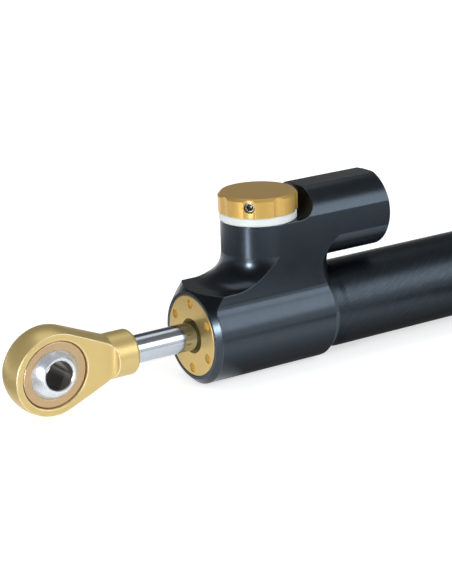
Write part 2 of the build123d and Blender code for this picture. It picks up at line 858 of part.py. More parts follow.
def adjuster_knob():
    """Gold damping knob, scalloped for the fingers, with a set screw hole in its side."""
    body = turned_upright([
        (0, knob_gap_height),
        (knob_radius, knob_gap_height),
        (knob_radius, knob_top - knob_edge_chamfer),
        (knob_radius - knob_edge_chamfer, knob_top),
        (0, knob_top),
    ])
    half = detent_ball_radius + running_gap
    groove_top = knob_gap_height + detent_groove_depth
    groove = post(detent_circle_radius + half, knob_gap_height - cut_overrun, groove_top)
    groove -= post(detent_circle_radius - half, knob_gap_height - cut_overrun, groove_top)
    stem_hole = post(
        spindle_radius + seat_gap, knob_gap_height - cut_overrun, spindle_top + seat_gap
    )
    screw_hole = knob_radial_bar(knob_screw_radius + seat_gap, 0, knob_radius + cut_overrun)
    cuts = groove + detent_notches() + stem_hole + screw_hole + knob_scallops()
    return Pos(knob_x, 0, 0) * (body - cuts)


def knob_radial_bar(radius, start, end):
    """A bar square to the knob axis, at the set screw's height and angle."""
    along = bar(radius, start, end, knob_screw_height)
    return Rot(0, 0, knob_screw_angle) * along


def knob_screw_ends():
    """Inner and outer end of the set screw, measured from the knob axis."""
    inner = spindle_radius - spindle_flat_depth + seat_gap
    outer = knob_radius - scallop_depth - knob_screw_sink
    return inner, outer


def knob_set_screw():
    """Set screw with a hexagon socket that holds the knob on its spindle."""
    inner, outer = knob_screw_ends()
    screw = bar(knob_screw_radius, inner, outer, knob_screw_height)
    hexagon = RegularPolygon(knob_screw_socket_radius, hexagon_sides, major_radius=False)
    socket_start = outer - knob_screw_socket_depth
    socket = extrude(
        Plane.YZ.offset(socket_start) * hexagon, knob_screw_socket_depth + cut_overrun
    )
    screw -= Pos(0, 0, knob_screw_height) * socket
    return Pos(knob_x, 0, 0) * Rot(0, 0, knob_screw_angle) * screw


def adjuster_spindle():
    """Spindle under the knob, with a threaded socket that drives the needle."""
    floor_radius = spindle_radius - spindle_groove_depth
    half = groove_half_width(floor_radius, spindle_radius + running_gap)
    socket_top = spindle_skirt_bottom + spindle_socket_share * spindle_skirt_length
    socket_radius = needle_stud_radius + sliding_gap
    spindle = turned_upright([
        (0, socket_top),
        (socket_radius, socket_top),
        (socket_radius, spindle_skirt_bottom),
        (spindle_skirt_radius, spindle_skirt_bottom),
        (spindle_skirt_radius, spindle_skirt_top),
        (spindle_radius, spindle_skirt_top),
        (spindle_radius, spindle_groove_height - half),
        (floor_radius, spindle_groove_height - half),
        (floor_radius, spindle_groove_height + half),
        (spindle_radius, spindle_groove_height + half),
        (spindle_radius, spindle_top),
        (0, spindle_top),
    ])
    flat = block(
        spindle_radius - spindle_flat_depth, 2 * spindle_radius, spindle_radius,
        knob_gap_height, spindle_top + cut_overrun,
    )
    spindle -= Rot(0, 0, knob_screw_angle) * flat
    return Pos(knob_x, 0, 0) * spindle


def spindle_o_ring():
    """Seal on the spindle."""
    floor_radius = spindle_radius - spindle_groove_depth
    bore_radius = spindle_radius + running_gap
    ring = Torus((floor_radius + bore_radius) / 2, o_ring_section(floor_radius, bore_radius))
    return Pos(knob_x, 0, spindle_groove_height) * ring


def spindle_bush():
    """Screwed bush that guides the spindle and closes the adjuster's bore."""
    return turned_upright([
        (spindle_radius + running_gap, spindle_bush_bottom),
        (adjuster_bore_radius - seat_gap, spindle_bush_bottom),
        (adjuster_bore_radius - seat_gap, boss_top_height),
        (spindle_radius + running_gap, boss_top_height),
    ], knob_x)


def needle_flats(radius, half_width, bottom, top):
    """A post with two flats, the shape that stops the needle from turning."""
    flats = block(-radius, radius, half_width, bottom, top)
    return Pos(knob_x, 0, 0) * (post(radius, bottom, top) & flats)


def needle_seat():
    """Bronze valve seat: an orifice with a conical mouth under a keyed cup."""
    body = turned_upright([
        (port_radius, valve_seat_bottom),
        (adjuster_bore_radius - seat_gap, valve_seat_bottom),
        (adjuster_bore_radius - seat_gap, valve_seat_top),
        (valve_mouth_radius, valve_seat_top),
        (valve_mouth_radius, valve_cup_floor_height),
        (port_radius, valve_mouth_height),
    ], knob_x)
    return body - needle_flats(
        valve_cup_radius, valve_cup_half_width, valve_cup_floor_height,
        valve_seat_top + cut_overrun,
    )


def adjuster_needle():
    """Needle: a cone over the seat, a keyed collar and a threaded stud."""
    cone_lift = half_lift + needle_seat_gap
    cone_start = valve_mouth_height + cone_lift
    tip = cone_start - (port_radius - needle_tip_radius) / needle_slope
    collar = valve_cup_floor_height + half_lift + needle_collar_gap
    collar_top = collar + needle_collar_share * valve_cup_depth
    cone_radius = port_radius + needle_slope * (collar - cone_start)
    stud_top = spindle_skirt_bottom + needle_engagement_share * spindle_skirt_length
    stem = turned_upright([
        (0, tip),
        (needle_tip_radius, tip),
        (cone_radius, collar),
        (cone_radius, collar_top),
        (needle_stud_radius, collar_top),
        (needle_stud_radius, stud_top),
        (0, stud_top),
    ], knob_x)
    key_radius = valve_cup_radius - sliding_gap
    key_half_width = valve_cup_half_width - sliding_gap
    return stem + needle_flats(key_radius, key_half_width, collar, collar_top)


def index_ring():
    """White ring between the tower and the knob."""
    inner = tower_boss_radius + index_ring_bore_gap
    return turned_upright([
        (inner, index_ring_bottom),
        (index_ring_radius - index_ring_edge, index_ring_bottom),
        (index_ring_radius, index_ring_bottom + index_ring_edge),
        (index_ring_radius, index_ring_top - index_ring_edge),
        (index_ring_radius - index_ring_edge, index_ring_top),
        (inner, index_ring_top),
    ], knob_x)


def detent_ball():
    """Ball that clicks into the knob's notches."""
    place, side = detent_place()
    return Pos(place, side, detent_ball_height) * Sphere(detent_ball_radius)


def detent_spring():
    """Small spring under the detent ball, as the sleeve that its turns fill."""
    place, side = detent_place()
    top = detent_ball_height - detent_ball_radius
    bottom = top - detent_spring_length
    outer = detent_ball_radius - seat_gap
    sleeve = post(outer, bottom, top, place, side)
    return sleeve - post(outer - 2 * detent_spring_wire_radius, bottom, top, place, side)


def free_piston():
    """Floating piston between oil and gas in the reservoir."""
    radius = reservoir_bore_radius - sliding_gap
    floor_radius = radius - free_piston_groove_depth
    half = groove_half_width(floor_radius, reservoir_bore_radius)
    end = free_piston_x + free_piston_length
    middle = (free_piston_x + end) / 2
    return turned([
        (free_piston_x, 0),
        (free_piston_x, radius),
        (middle - half, radius),
        (middle - half, floor_radius),
        (middle + half, floor_radius),
        (middle + half, radius),
        (end, radius),
        (end, free_piston_hollow_share * radius),
        (end - free_piston_hollow_depth, free_piston_hollow_share * radius),
        (end - free_piston_hollow_depth, 0),
    ], reservoir_height)


def free_piston_o_ring():
    """Seal round the floating piston."""
    floor_radius = reservoir_bore_radius - sliding_gap - free_piston_groove_depth
    middle = free_piston_x + free_piston_length / 2
    return o_ring(floor_radius, reservoir_bore_radius, middle, reservoir_height)


def reservoir_cap():
    """Cap that closes the reservoir behind its circlip, with the gas fill hole."""
    radius = reservoir_bore_radius - seat_gap
    floor_radius = radius - reservoir_cap_groove_depth
    half = groove_half_width(floor_radius, reservoir_bore_radius)
    end = reservoir_cap_x + reservoir_cap_length
    middle = (reservoir_cap_x + end) / 2
    cap = turned([
        (reservoir_cap_x, fill_screw_radius + seat_gap),
        (reservoir_cap_x, radius),
        (middle - half, radius),
        (middle - half, floor_radius),
        (middle + half, floor_radius),
        (middle + half, radius),
        (end, radius),
        (end, fill_screw_head_radius + seat_gap),
        (end - fill_screw_head_length, fill_screw_head_radius + seat_gap),
        (end - fill_screw_head_length, fill_screw_radius + seat_gap),
    ], reservoir_height)
    holes = Part()
    for side in (-1, 1):
        hole = bar(
            reservoir_cap_pin_radius, end - reservoir_cap_pin_depth, end + cut_overrun,
            reservoir_height,
        )
        holes += Pos(0, side * reservoir_cap_pin_circle_share * radius, 0) * hole
    return cap - holes


def reservoir_cap_o_ring():
    """Seal round the reservoir cap."""
    floor_radius = reservoir_bore_radius - seat_gap - reservoir_cap_groove_depth
    middle = reservoir_cap_x + reservoir_cap_length / 2
    return o_ring(floor_radius, reservoir_bore_radius, middle, reservoir_height)


def fill_screw():
    """Countersunk screw that closes the gas fill hole."""
    end = reservoir_cap_x + reservoir_cap_length
    head = end - fill_screw_head_length + seat_gap
    screw = turned([
        (reservoir_cap_x, 0),
        (reservoir_cap_x, fill_screw_radius),
        (head, fill_screw_radius),
        (head, fill_screw_head_radius),
        (end, fill_screw_head_radius),
        (end, 0),
    ], reservoir_height)
    hexagon = RegularPolygon(fill_screw_socket_radius, hexagon_sides, major_radius=False)
    depth = fill_screw_socket_depth
    socket = extrude(Plane.YZ.offset(end - depth) * hexagon, depth + cut_overrun)
    return screw - Pos(0, 0, reservoir_height) * socket


def reservoir_circlip():
    """Open spring ring in the groove behind the reservoir cap."""
    outer = reservoir_bore_radius + circlip_grip - seat_gap
    end = circlip_x + circlip_thickness
    ring = bar(outer, circlip_x, end) - bar(outer - circlip_width, circlip_x, end)
    half_gap = outer * tan(radians(circlip_gap_angle / 2))
    wedge = Polyline((0, 0), (half_gap, -outer), (-half_gap, -outer), close=True)
    opening = extrude(Plane.YZ.offset(circlip_x) * make_face(wedge), circlip_thickness)
    return Pos(0, 0, reservoir_height) * (ring - opening)


pieces = {
    "head_block": head_block,
    "cylinder_tube": cylinder_tube,
    "tube_o_ring": tube_o_ring,
    "rear_plug": rear_plug,
    "rear_plug_o_ring": rear_plug_o_ring,
    "gland_cap": gland_cap,
    "gland_o_ring": gland_o_ring,
    "rod_wiper": rod_wiper,
    "rod_seal": rod_seal,
    "rod_bush": rod_bush,
    "rod_eye": rod_eye,
    "bearing_race": bearing_race,
    "bearing_ball": bearing_ball,
    "piston_rod": piston_rod,
    "piston": piston,
    "piston_ring": piston_ring,
    "piston_shims": piston_shims,
    "piston_nut": piston_nut,
    "adjuster_knob": adjuster_knob,
    "knob_set_screw": knob_set_screw,
    "adjuster_spindle": adjuster_spindle,
    "spindle_o_ring": spindle_o_ring,
    "spindle_bush": spindle_bush,
    "needle_seat": needle_seat,
    "adjuster_needle": adjuster_needle,
    "index_ring": index_ring,
    "detent_ball": detent_ball,
    "detent_spring": detent_spring,
    "free_piston": free_piston,
    "free_piston_o_ring": free_piston_o_ring,
    "reservoir_cap": reservoir_cap,
    "reservoir_cap_o_ring": reservoir_cap_o_ring,
    "fill_screw": fill_screw,
    "reservoir_circlip": reservoir_circlip,
}

for name, make_piece in pieces.items():
    export_step(make_piece(), f"parts/{name}.step")
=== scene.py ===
"""Finishes, fine pieces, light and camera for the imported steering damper.

Lengths are metres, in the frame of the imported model: X runs along the damper from the
rod eye to the closed end of the tube, and Z points up to the knob.
"""

import json
import logging
import math
from collections.abc import Callable, Sequence
from dataclasses import dataclass
from enum import Enum
from functools import reduce
from typing import Any

import bpy
from mathutils import Matrix, Vector

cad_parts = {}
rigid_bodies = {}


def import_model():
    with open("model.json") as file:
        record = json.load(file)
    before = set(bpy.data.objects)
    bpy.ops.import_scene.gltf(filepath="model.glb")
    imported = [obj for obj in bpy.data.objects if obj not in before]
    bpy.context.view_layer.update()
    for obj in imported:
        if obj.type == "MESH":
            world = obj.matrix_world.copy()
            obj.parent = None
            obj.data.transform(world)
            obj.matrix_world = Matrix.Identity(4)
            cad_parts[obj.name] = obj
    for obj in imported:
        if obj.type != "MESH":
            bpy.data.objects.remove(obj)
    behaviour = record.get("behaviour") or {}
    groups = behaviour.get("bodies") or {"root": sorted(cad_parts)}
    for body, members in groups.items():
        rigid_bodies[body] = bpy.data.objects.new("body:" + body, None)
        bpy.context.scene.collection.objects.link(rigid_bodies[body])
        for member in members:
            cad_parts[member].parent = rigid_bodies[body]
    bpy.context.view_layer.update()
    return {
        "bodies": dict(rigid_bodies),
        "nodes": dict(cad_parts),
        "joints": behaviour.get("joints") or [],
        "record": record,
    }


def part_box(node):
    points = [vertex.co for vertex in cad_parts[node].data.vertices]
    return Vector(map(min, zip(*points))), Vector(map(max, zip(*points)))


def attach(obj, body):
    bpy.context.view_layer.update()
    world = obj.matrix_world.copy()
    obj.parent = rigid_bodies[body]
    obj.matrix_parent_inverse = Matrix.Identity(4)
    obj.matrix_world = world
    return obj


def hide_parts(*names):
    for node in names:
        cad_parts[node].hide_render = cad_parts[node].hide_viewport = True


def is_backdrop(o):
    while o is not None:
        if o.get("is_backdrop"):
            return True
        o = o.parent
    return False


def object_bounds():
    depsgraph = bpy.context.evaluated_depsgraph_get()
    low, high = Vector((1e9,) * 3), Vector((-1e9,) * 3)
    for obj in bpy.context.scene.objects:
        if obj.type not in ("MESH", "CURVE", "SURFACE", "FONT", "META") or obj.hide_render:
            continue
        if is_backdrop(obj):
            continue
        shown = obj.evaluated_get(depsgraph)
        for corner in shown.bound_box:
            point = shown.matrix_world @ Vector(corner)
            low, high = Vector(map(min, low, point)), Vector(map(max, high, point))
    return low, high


Colour = tuple[float, float, float]
Place = tuple[float, float, float]
Stretch = tuple[float, float]
Piece = bpy.types.Object
Socket = bpy.types.NodeSocket
Sockets = dict[str, Socket]

IMAGE_HEIGHT = 584
MM = 0.001
MICRON = 0.000001
WHITE = (1.0, 1.0, 1.0)

# The foot of the tower's upright axis, which the knob shares, and the tube
TOWER = (69.0 * MM, 0.0, 0.0)
TUBE_RADIUS = 12.5 * MM

# What the shared effects are made of: counts per metre, and shares
EDGE_PATCHES = 900.0
RING_WANDER = 120.0
SLOW_RINGS = 0.12
BROAD_GRAIN = 0.05
SMUDGE_PATCHES = 100.0
HAIRLINE_STRETCH = (160.0, 900.0, 3200.0)
HAIRLINE_WAVES = 60.0
HAIRLINE_BEND = 6.0
HATCH_SLANT = (0.87, 0.5)
HATCH_LINES = 1900.0
HATCH_BREAKS = 240.0

# How the fine pieces are shaped
FACES_THAT_WAY = 0.99
COIL_STEPS = 36
WIRE_SIDES = 14
SMOOTH_ANGLE = math.radians(30)
BEVEL_ANGLE = math.radians(50)
DRILL_INSET = 0.7
DRILL_DEPTH = 0.35

# What all finishes share: how far marks and grain change them, and how rough a coat is
RING_GLOSS = 0.06
GRAIN_GLOSS = 0.05
GRAIN_DRIFT = 0.5
COAT_ROUGHNESS = 0.3

log = logging.getLogger("steering_damper")


def heading(azimuth: float, elevation: float = 0.0) -> Vector:
    """The direction at an azimuth from X towards Y and at an elevation, in degrees."""
    turn, rise = math.radians(azimuth), math.radians(elevation)
    return Vector((math.cos(turn) * math.cos(rise), math.sin(turn) * math.cos(rise), math.sin(rise)))


# Node trees


class Graph:
    """A node tree that is being filled."""

    def __init__(self, tree: bpy.types.NodeTree) -> None:
        """Empties the tree and keeps it."""
        tree.nodes.clear()
        self.tree = tree

    @classmethod
    def start(cls, holder: bpy.types.Material | bpy.types.World) -> "Graph":
        """Starts the nodes of a material or of the world."""
        holder.use_nodes = True
        return cls(holder.node_tree)

    def node(self, kind: str, *values: Any, **named: Any) -> bpy.types.Node:
        """Adds a shader node.

        Args:
            kind: The node's type, without its ShaderNode prefix.
            values: Its first inputs in order, as sockets or plain values.
            named: Its properties, and inputs with a capital and underscores for spaces.

        Returns:
            The new node.
        """
        made = self.tree.nodes.new("ShaderNode" + kind)
        for name, value in named.items():
            if name[0].isupper():
                self.feed(made.inputs[name.replace("_", " ")], value)
            else:
                setattr(made, name, value)
        for socket, value in zip(made.inputs, values):
            self.feed(socket, value)
        return made

    def feed(self, socket: Socket, value: Any) -> None:
        """Links an output to an input, or gives the input a plain value.

        Args:
            socket: The input socket.
            value: An output socket, or a number or colour.
        """
        if isinstance(value, bpy.types.NodeSocket):
            self.tree.links.new(value, socket)
        elif socket.type == "RGBA" and len(value) == 3:
            socket.default_value = (*value, 1.0)
        else:
            socket.default_value = value

    def math(self, operation: str, *values: Any, clamp: bool = False) -> Socket:
        """The result of a Math node, kept between 0 and 1 if clamp is true."""
        return self.node("Math", *values, operation=operation, use_clamp=clamp).outputs[0]

    def times(self, *values: Any) -> Socket:
        """The product of two or more numbers."""
        return reduce(lambda first, second: self.math("MULTIPLY", first, second), values)

    def vector(self, operation: str, *values: Any) -> Socket:
        """The vector that a Vector Math node gives."""
        return self.node("VectorMath", *values, operation=operation).outputs[0]

    def dot(self, first: Any, second: Any) -> Socket:
        """The dot product of two vectors."""
        return self.node("VectorMath", first, second, operation="DOT_PRODUCT").outputs["Value"]

    def length(self, first: Any, second: Any) -> Socket:
        """The distance that two distances square to each other make."""
        flat = self.together(first, second, 0.0)
        return self.node("VectorMath", flat, operation="LENGTH").outputs["Value"]

    def apart(self, vector: Any) -> tuple[Socket, ...]:
        """The X, Y and Z of a vector."""
        return tuple(self.node("SeparateXYZ", vector).outputs)

    def together(self, *values: Any) -> Socket:
        """The vector with the X, Y and Z that are given."""
        return self.node("CombineXYZ", *values).outputs[0]

    def noise(self, place: Any, scale: Any, detail: float = 2.0, rough: float = 0.5) -> Socket:
        """Noise from 0 to 1, with scale patches in a metre and detail finer layers."""
        made = self.node("TexNoise", Vector=place, Scale=scale, Detail=detail, Roughness=rough)
        return made.outputs["Fac"]

    def spread(self, value: Any, low: float, high: float, start: float = 0.0, end: float = 1.0) -> Socket:
        """Maps the range from low to high to one from start to end, and clamps it."""
        return self.node("MapRange", value, low, high, start, end, clamp=True).outputs[0]

    def blend(self, share: Any, first: Any, second: Any) -> Socket:
        """Mixes two colours or two places.

        Args:
            share: How much of the second one is mixed in.
            first: The first one.
            second: The second one.

        Returns:
            The mixed one.
        """
        made = self.node("Mix", data_type="RGBA")
        sockets = {socket.identifier: socket for socket in (*made.inputs, *made.outputs)}
        self.feed(sockets["Factor_Float"], share)
        self.feed(sockets["A_Color"], first)
        self.feed(sockets["B_Color"], second)
        return sockets["Result_Color"]


class Lie(Enum):
    """Which way the axis of a turned surface runs, as the order of its coordinates."""

    ALONG = "XYZ"
    UPRIGHT = "ZXY"
    ACROSS = "YXZ"


@dataclass(frozen=True)
class Turning:
    """The axis that a surface was turned about.

    Attributes:
        lie: Which way the axis runs.
        centre: A point on the axis.
        upper: The axis of what stands higher than the split, if it has its own.
        split: The height of the split on Z.
    """

    lie: Lie = Lie.ALONG
    centre: Place = (0.0, 0.0, 0.0)
    upper: "Turning | None" = None
    split: float = 0.0

    def place(self, graph: Graph, place: Socket) -> Socket:
        """Moves the coordinates to the axis and lays that along X.

        Args:
            graph: The node tree.
            place: The object's coordinates.

        Returns:
            The new coordinates.
        """
        centred = graph.vector("SUBTRACT", place, self.centre)
        parts = dict(zip("XYZ", graph.apart(centred)))
        spun = graph.together(*(parts[letter] for letter in self.lie.value))
        if self.upper is None:
            return spun
        above = graph.math("GREATER_THAN", graph.apart(place)[2], self.split)
        return graph.blend(above, spun, self.upper.place(graph, place))


# Shared effects


@dataclass(frozen=True)
class Effect:
    """An effect that several finishes share, kept as one node group.

    Attributes:
        name: The node group's name.
        inputs: Its inputs beside Place, which are numbers.
        fill: The function that fills the group and gives its outputs, numbers apart from Normal.
    """

    name: str
    inputs: Sequence[str]
    fill: Callable[[Graph, Sockets], Sockets]

    def group(self) -> bpy.types.NodeTree:
        """Builds the node group, or finds it if it is built already.

        Returns:
            The node group.
        """
        if self.name in bpy.data.node_groups:
            return bpy.data.node_groups[self.name]
        tree = bpy.data.node_groups.new(self.name, "ShaderNodeTree")
        tree.interface.new_socket("Place", in_out="INPUT", socket_type="NodeSocketVector")
        for name in self.inputs:
            tree.interface.new_socket(name, in_out="INPUT", socket_type="NodeSocketFloat")
        graph = Graph(tree)
        entry = tree.nodes.new("NodeGroupInput")
        leave = tree.nodes.new("NodeGroupOutput")
        for name, value in self.fill(graph, dict(entry.outputs.items())).items():
            kind = "NodeSocketVector" if name == "Normal" else "NodeSocketFloat"
            tree.interface.new_socket(name, in_out="OUTPUT", socket_type=kind)
            graph.feed(leave.inputs[name], value)
        return tree

    def use(self, graph: Graph, **values: Any) -> Sockets:
        """Places the group in a material.

        Args:
            graph: The node tree.
            values: The group's inputs by name.

        Returns:
            The group's outputs by name.
        """
        made = graph.node("Group", node_tree=self.group(), **values)
        return dict(made.outputs.items())


def fill_soft_edges(graph: Graph, given: Sockets) -> Sockets:
    """Rounds sharp edges in the normal and marks where they are, for wear and for painted edge
    highlights.

    Args:
        graph: The node tree.
        given: The group's inputs.

    Returns:
        The rounded normal and the mask of the edges.
    """
    rounded = graph.node("Bevel", given["Radius"], samples=6).outputs["Normal"]
    flat = graph.node("NewGeometry").outputs["Normal"]
    turn = graph.math("SUBTRACT", 1.0, graph.dot(rounded, flat))
    patchy = graph.noise(given["Place"], EDGE_PATCHES, detail=3.0, rough=0.6)
    wear_and_glint = graph.times(graph.spread(turn, low=0.006, high=0.07), patchy)
    return {"Normal": rounded, "Mask": graph.math("MULTIPLY", wear_and_glint, given["Wear"], clamp=True)}


def fill_turning_marks(graph: Graph, given: Sockets) -> Sockets:
    """Fine rings left by a lathe, along the axis on a shank and in circles on a face.

    Args:
        graph: The node tree.
        given: The group's inputs; the axis is the X of the place.

    Returns:
        The height of the rings and a slow change of tone across them.
    """
    along, side, up = graph.apart(given["Place"])
    wander = graph.times(graph.noise(given["Place"], RING_WANDER, detail=1.0), given["Pitch"])
    line = graph.together(graph.math("ADD", along, wander), graph.length(side, up), 0.0)
    rings = graph.math("DIVIDE", 1.0, given["Pitch"])
    fine = graph.noise(line, rings, detail=3.0, rough=0.65)
    slow = graph.noise(line, graph.times(rings, SLOW_RINGS), detail=1.0)
    return {"Height": fine, "Tone": slow}


def fill_blasted_grain(graph: Graph, given: Sockets) -> Sockets:
    """The even fine grain of a blasted or etched surface.

    Args:
        graph: The node tree.
        given: The group's inputs.

    Returns:
        The height of the grain and a broader change of tone.
    """
    grains = graph.math("DIVIDE", 1.0, given["Grain"])
    fine = graph.noise(given["Place"], grains, rough=0.6)
    broad = graph.noise(given["Place"], graph.times(grains, BROAD_GRAIN))
    return {"Height": fine, "Tone": broad}


def fill_handling(graph: Graph, given: Sockets) -> Sockets:
    """Faint smudges and hairlines from handling.

    Args:
        graph: The node tree.
        given: The group's inputs.

    Returns:
        A smudge value around 0 and a mask of hairlines.
    """
    cloud = graph.noise(given["Place"], SMUDGE_PATCHES, detail=3.0, rough=0.55)
    stretched = graph.vector("MULTIPLY", given["Place"], HAIRLINE_STRETCH)
    bend = graph.times(graph.noise(given["Place"], HAIRLINE_WAVES, detail=1.0), HAIRLINE_BEND)
    leaning = graph.vector("ADD", stretched, graph.together(0.0, bend, 0.0))
    hairlines = graph.spread(graph.noise(leaning, 1.0, rough=0.7), low=0.66, high=0.74)
    return {"Smudge": graph.math("SUBTRACT", cloud, 0.5), "Hairlines": hairlines}


def fill_tube_hatch(graph: Graph, given: Sockets) -> Sockets:
    """Slanting polishing lines round a tube that lies along X.

    Args:
        graph: The node tree.
        given: The group's inputs.

    Returns:
        The height of the lines and a mask of the brightest ones.
    """
    along, side, up = graph.apart(given["Place"])
    arc = graph.times(graph.math("ARCTAN2", side, up), given["Radius"])
    flat = graph.together(along, arc, 0.0)
    steep, level = HATCH_SLANT
    across = graph.times(graph.dot(flat, (-level, steep, 0.0)), HATCH_LINES)
    down = graph.times(graph.dot(flat, (steep, level, 0.0)), HATCH_BREAKS)
    height = graph.noise(graph.together(across, down, 0.0), 1.0)
    return {"Height": height, "Mask": graph.spread(height, low=0.48, high=0.68)}


SOFT_EDGES = Effect("soft_edges", ("Radius", "Wear"), fill_soft_edges)
TURNING_MARKS = Effect("turning_marks", ("Pitch",), fill_turning_marks)
BLASTED_GRAIN = Effect("blasted_grain", ("Grain",), fill_blasted_grain)
HANDLING = Effect("handling", (), fill_handling)
TUBE_HATCH = Effect("tube_hatch", ("Radius",), fill_tube_hatch)


# Finishes


@dataclass(frozen=True)
class Recess:
    """Another look inside a bore or below a face, such as painted shade in the ball's bore.

    Attributes:
        colour: The colour in there.
        roughness: How rough it is in there.
        reach: The bore's radius about the turning axis, or 0 to go by depth.
        depth: Where on the turning axis the look starts, if reach is 0.
        fade: The distance over which it sets in.
    """

    colour: Colour
    roughness: float
    reach: float = 0.0
    depth: float = 0.0
    fade: float = 0.2 * MM

    def mask(self, graph: Graph, spun: Socket) -> Socket:
        """Marks the recess.

        Args:
            graph: The node tree.
            spun: Coordinates with the turning axis along X.

        Returns:
            1 in the recess and 0 outside it.
        """
        along, side, up = graph.apart(spun)
        if self.reach:
            return graph.spread(graph.length(side, up), self.reach, self.reach + self.fade, 1.0, 0.0)
        return graph.spread(along, self.depth, self.depth + self.fade)


@dataclass(frozen=True)
class BareEdge:
    """A stretch where the edges and their chamfers are worn to a lighter, duller tone.

    Attributes:
        colour: The colour of the edges there.
        low: The lowest corner of the box that holds the stretch.
        high: The highest corner of that box.
        facing: How far a chamfer looks along X, as a share of its normal.
        top: The height at which the chamfer has run out.
        fade: The stretch below that height in which it fades.
        metallic: How metallic the edges are.
        strength: How much of the colour shows.
    """

    colour: Colour
    low: Place
    high: Place
    facing: float = 0.25
    top: float = 9.5 * MM
    fade: float = 3.0 * MM
    metallic: float = 0.4
    strength: float = 3.0

    def mask(self, graph: Graph, place: Socket, edges: Socket) -> Socket:
        """Marks the edges inside the box.

        Args:
            graph: The node tree.
            place: The object's coordinates.
            edges: The mask of all edges.

        Returns:
            The mask of the bare edges.
        """
        look = graph.apart(graph.node("NewGeometry").outputs["Normal"])[0]
        below = graph.spread(graph.apart(place)[2], self.top - self.fade, self.top, 1.0, 0.0)
        chamfer = graph.times(graph.math("GREATER_THAN", look, self.facing), below)
        wear_and_glint = graph.math("MULTIPLY", edges, self.strength, clamp=True)
        held = graph.math("MAXIMUM", chamfer, wear_and_glint)
        for value, low, high in zip(graph.apart(place), self.low, self.high):
            above = graph.math("GREATER_THAN", value, low)
            held = graph.times(held, above, graph.math("LESS_THAN", value, high))
        return held


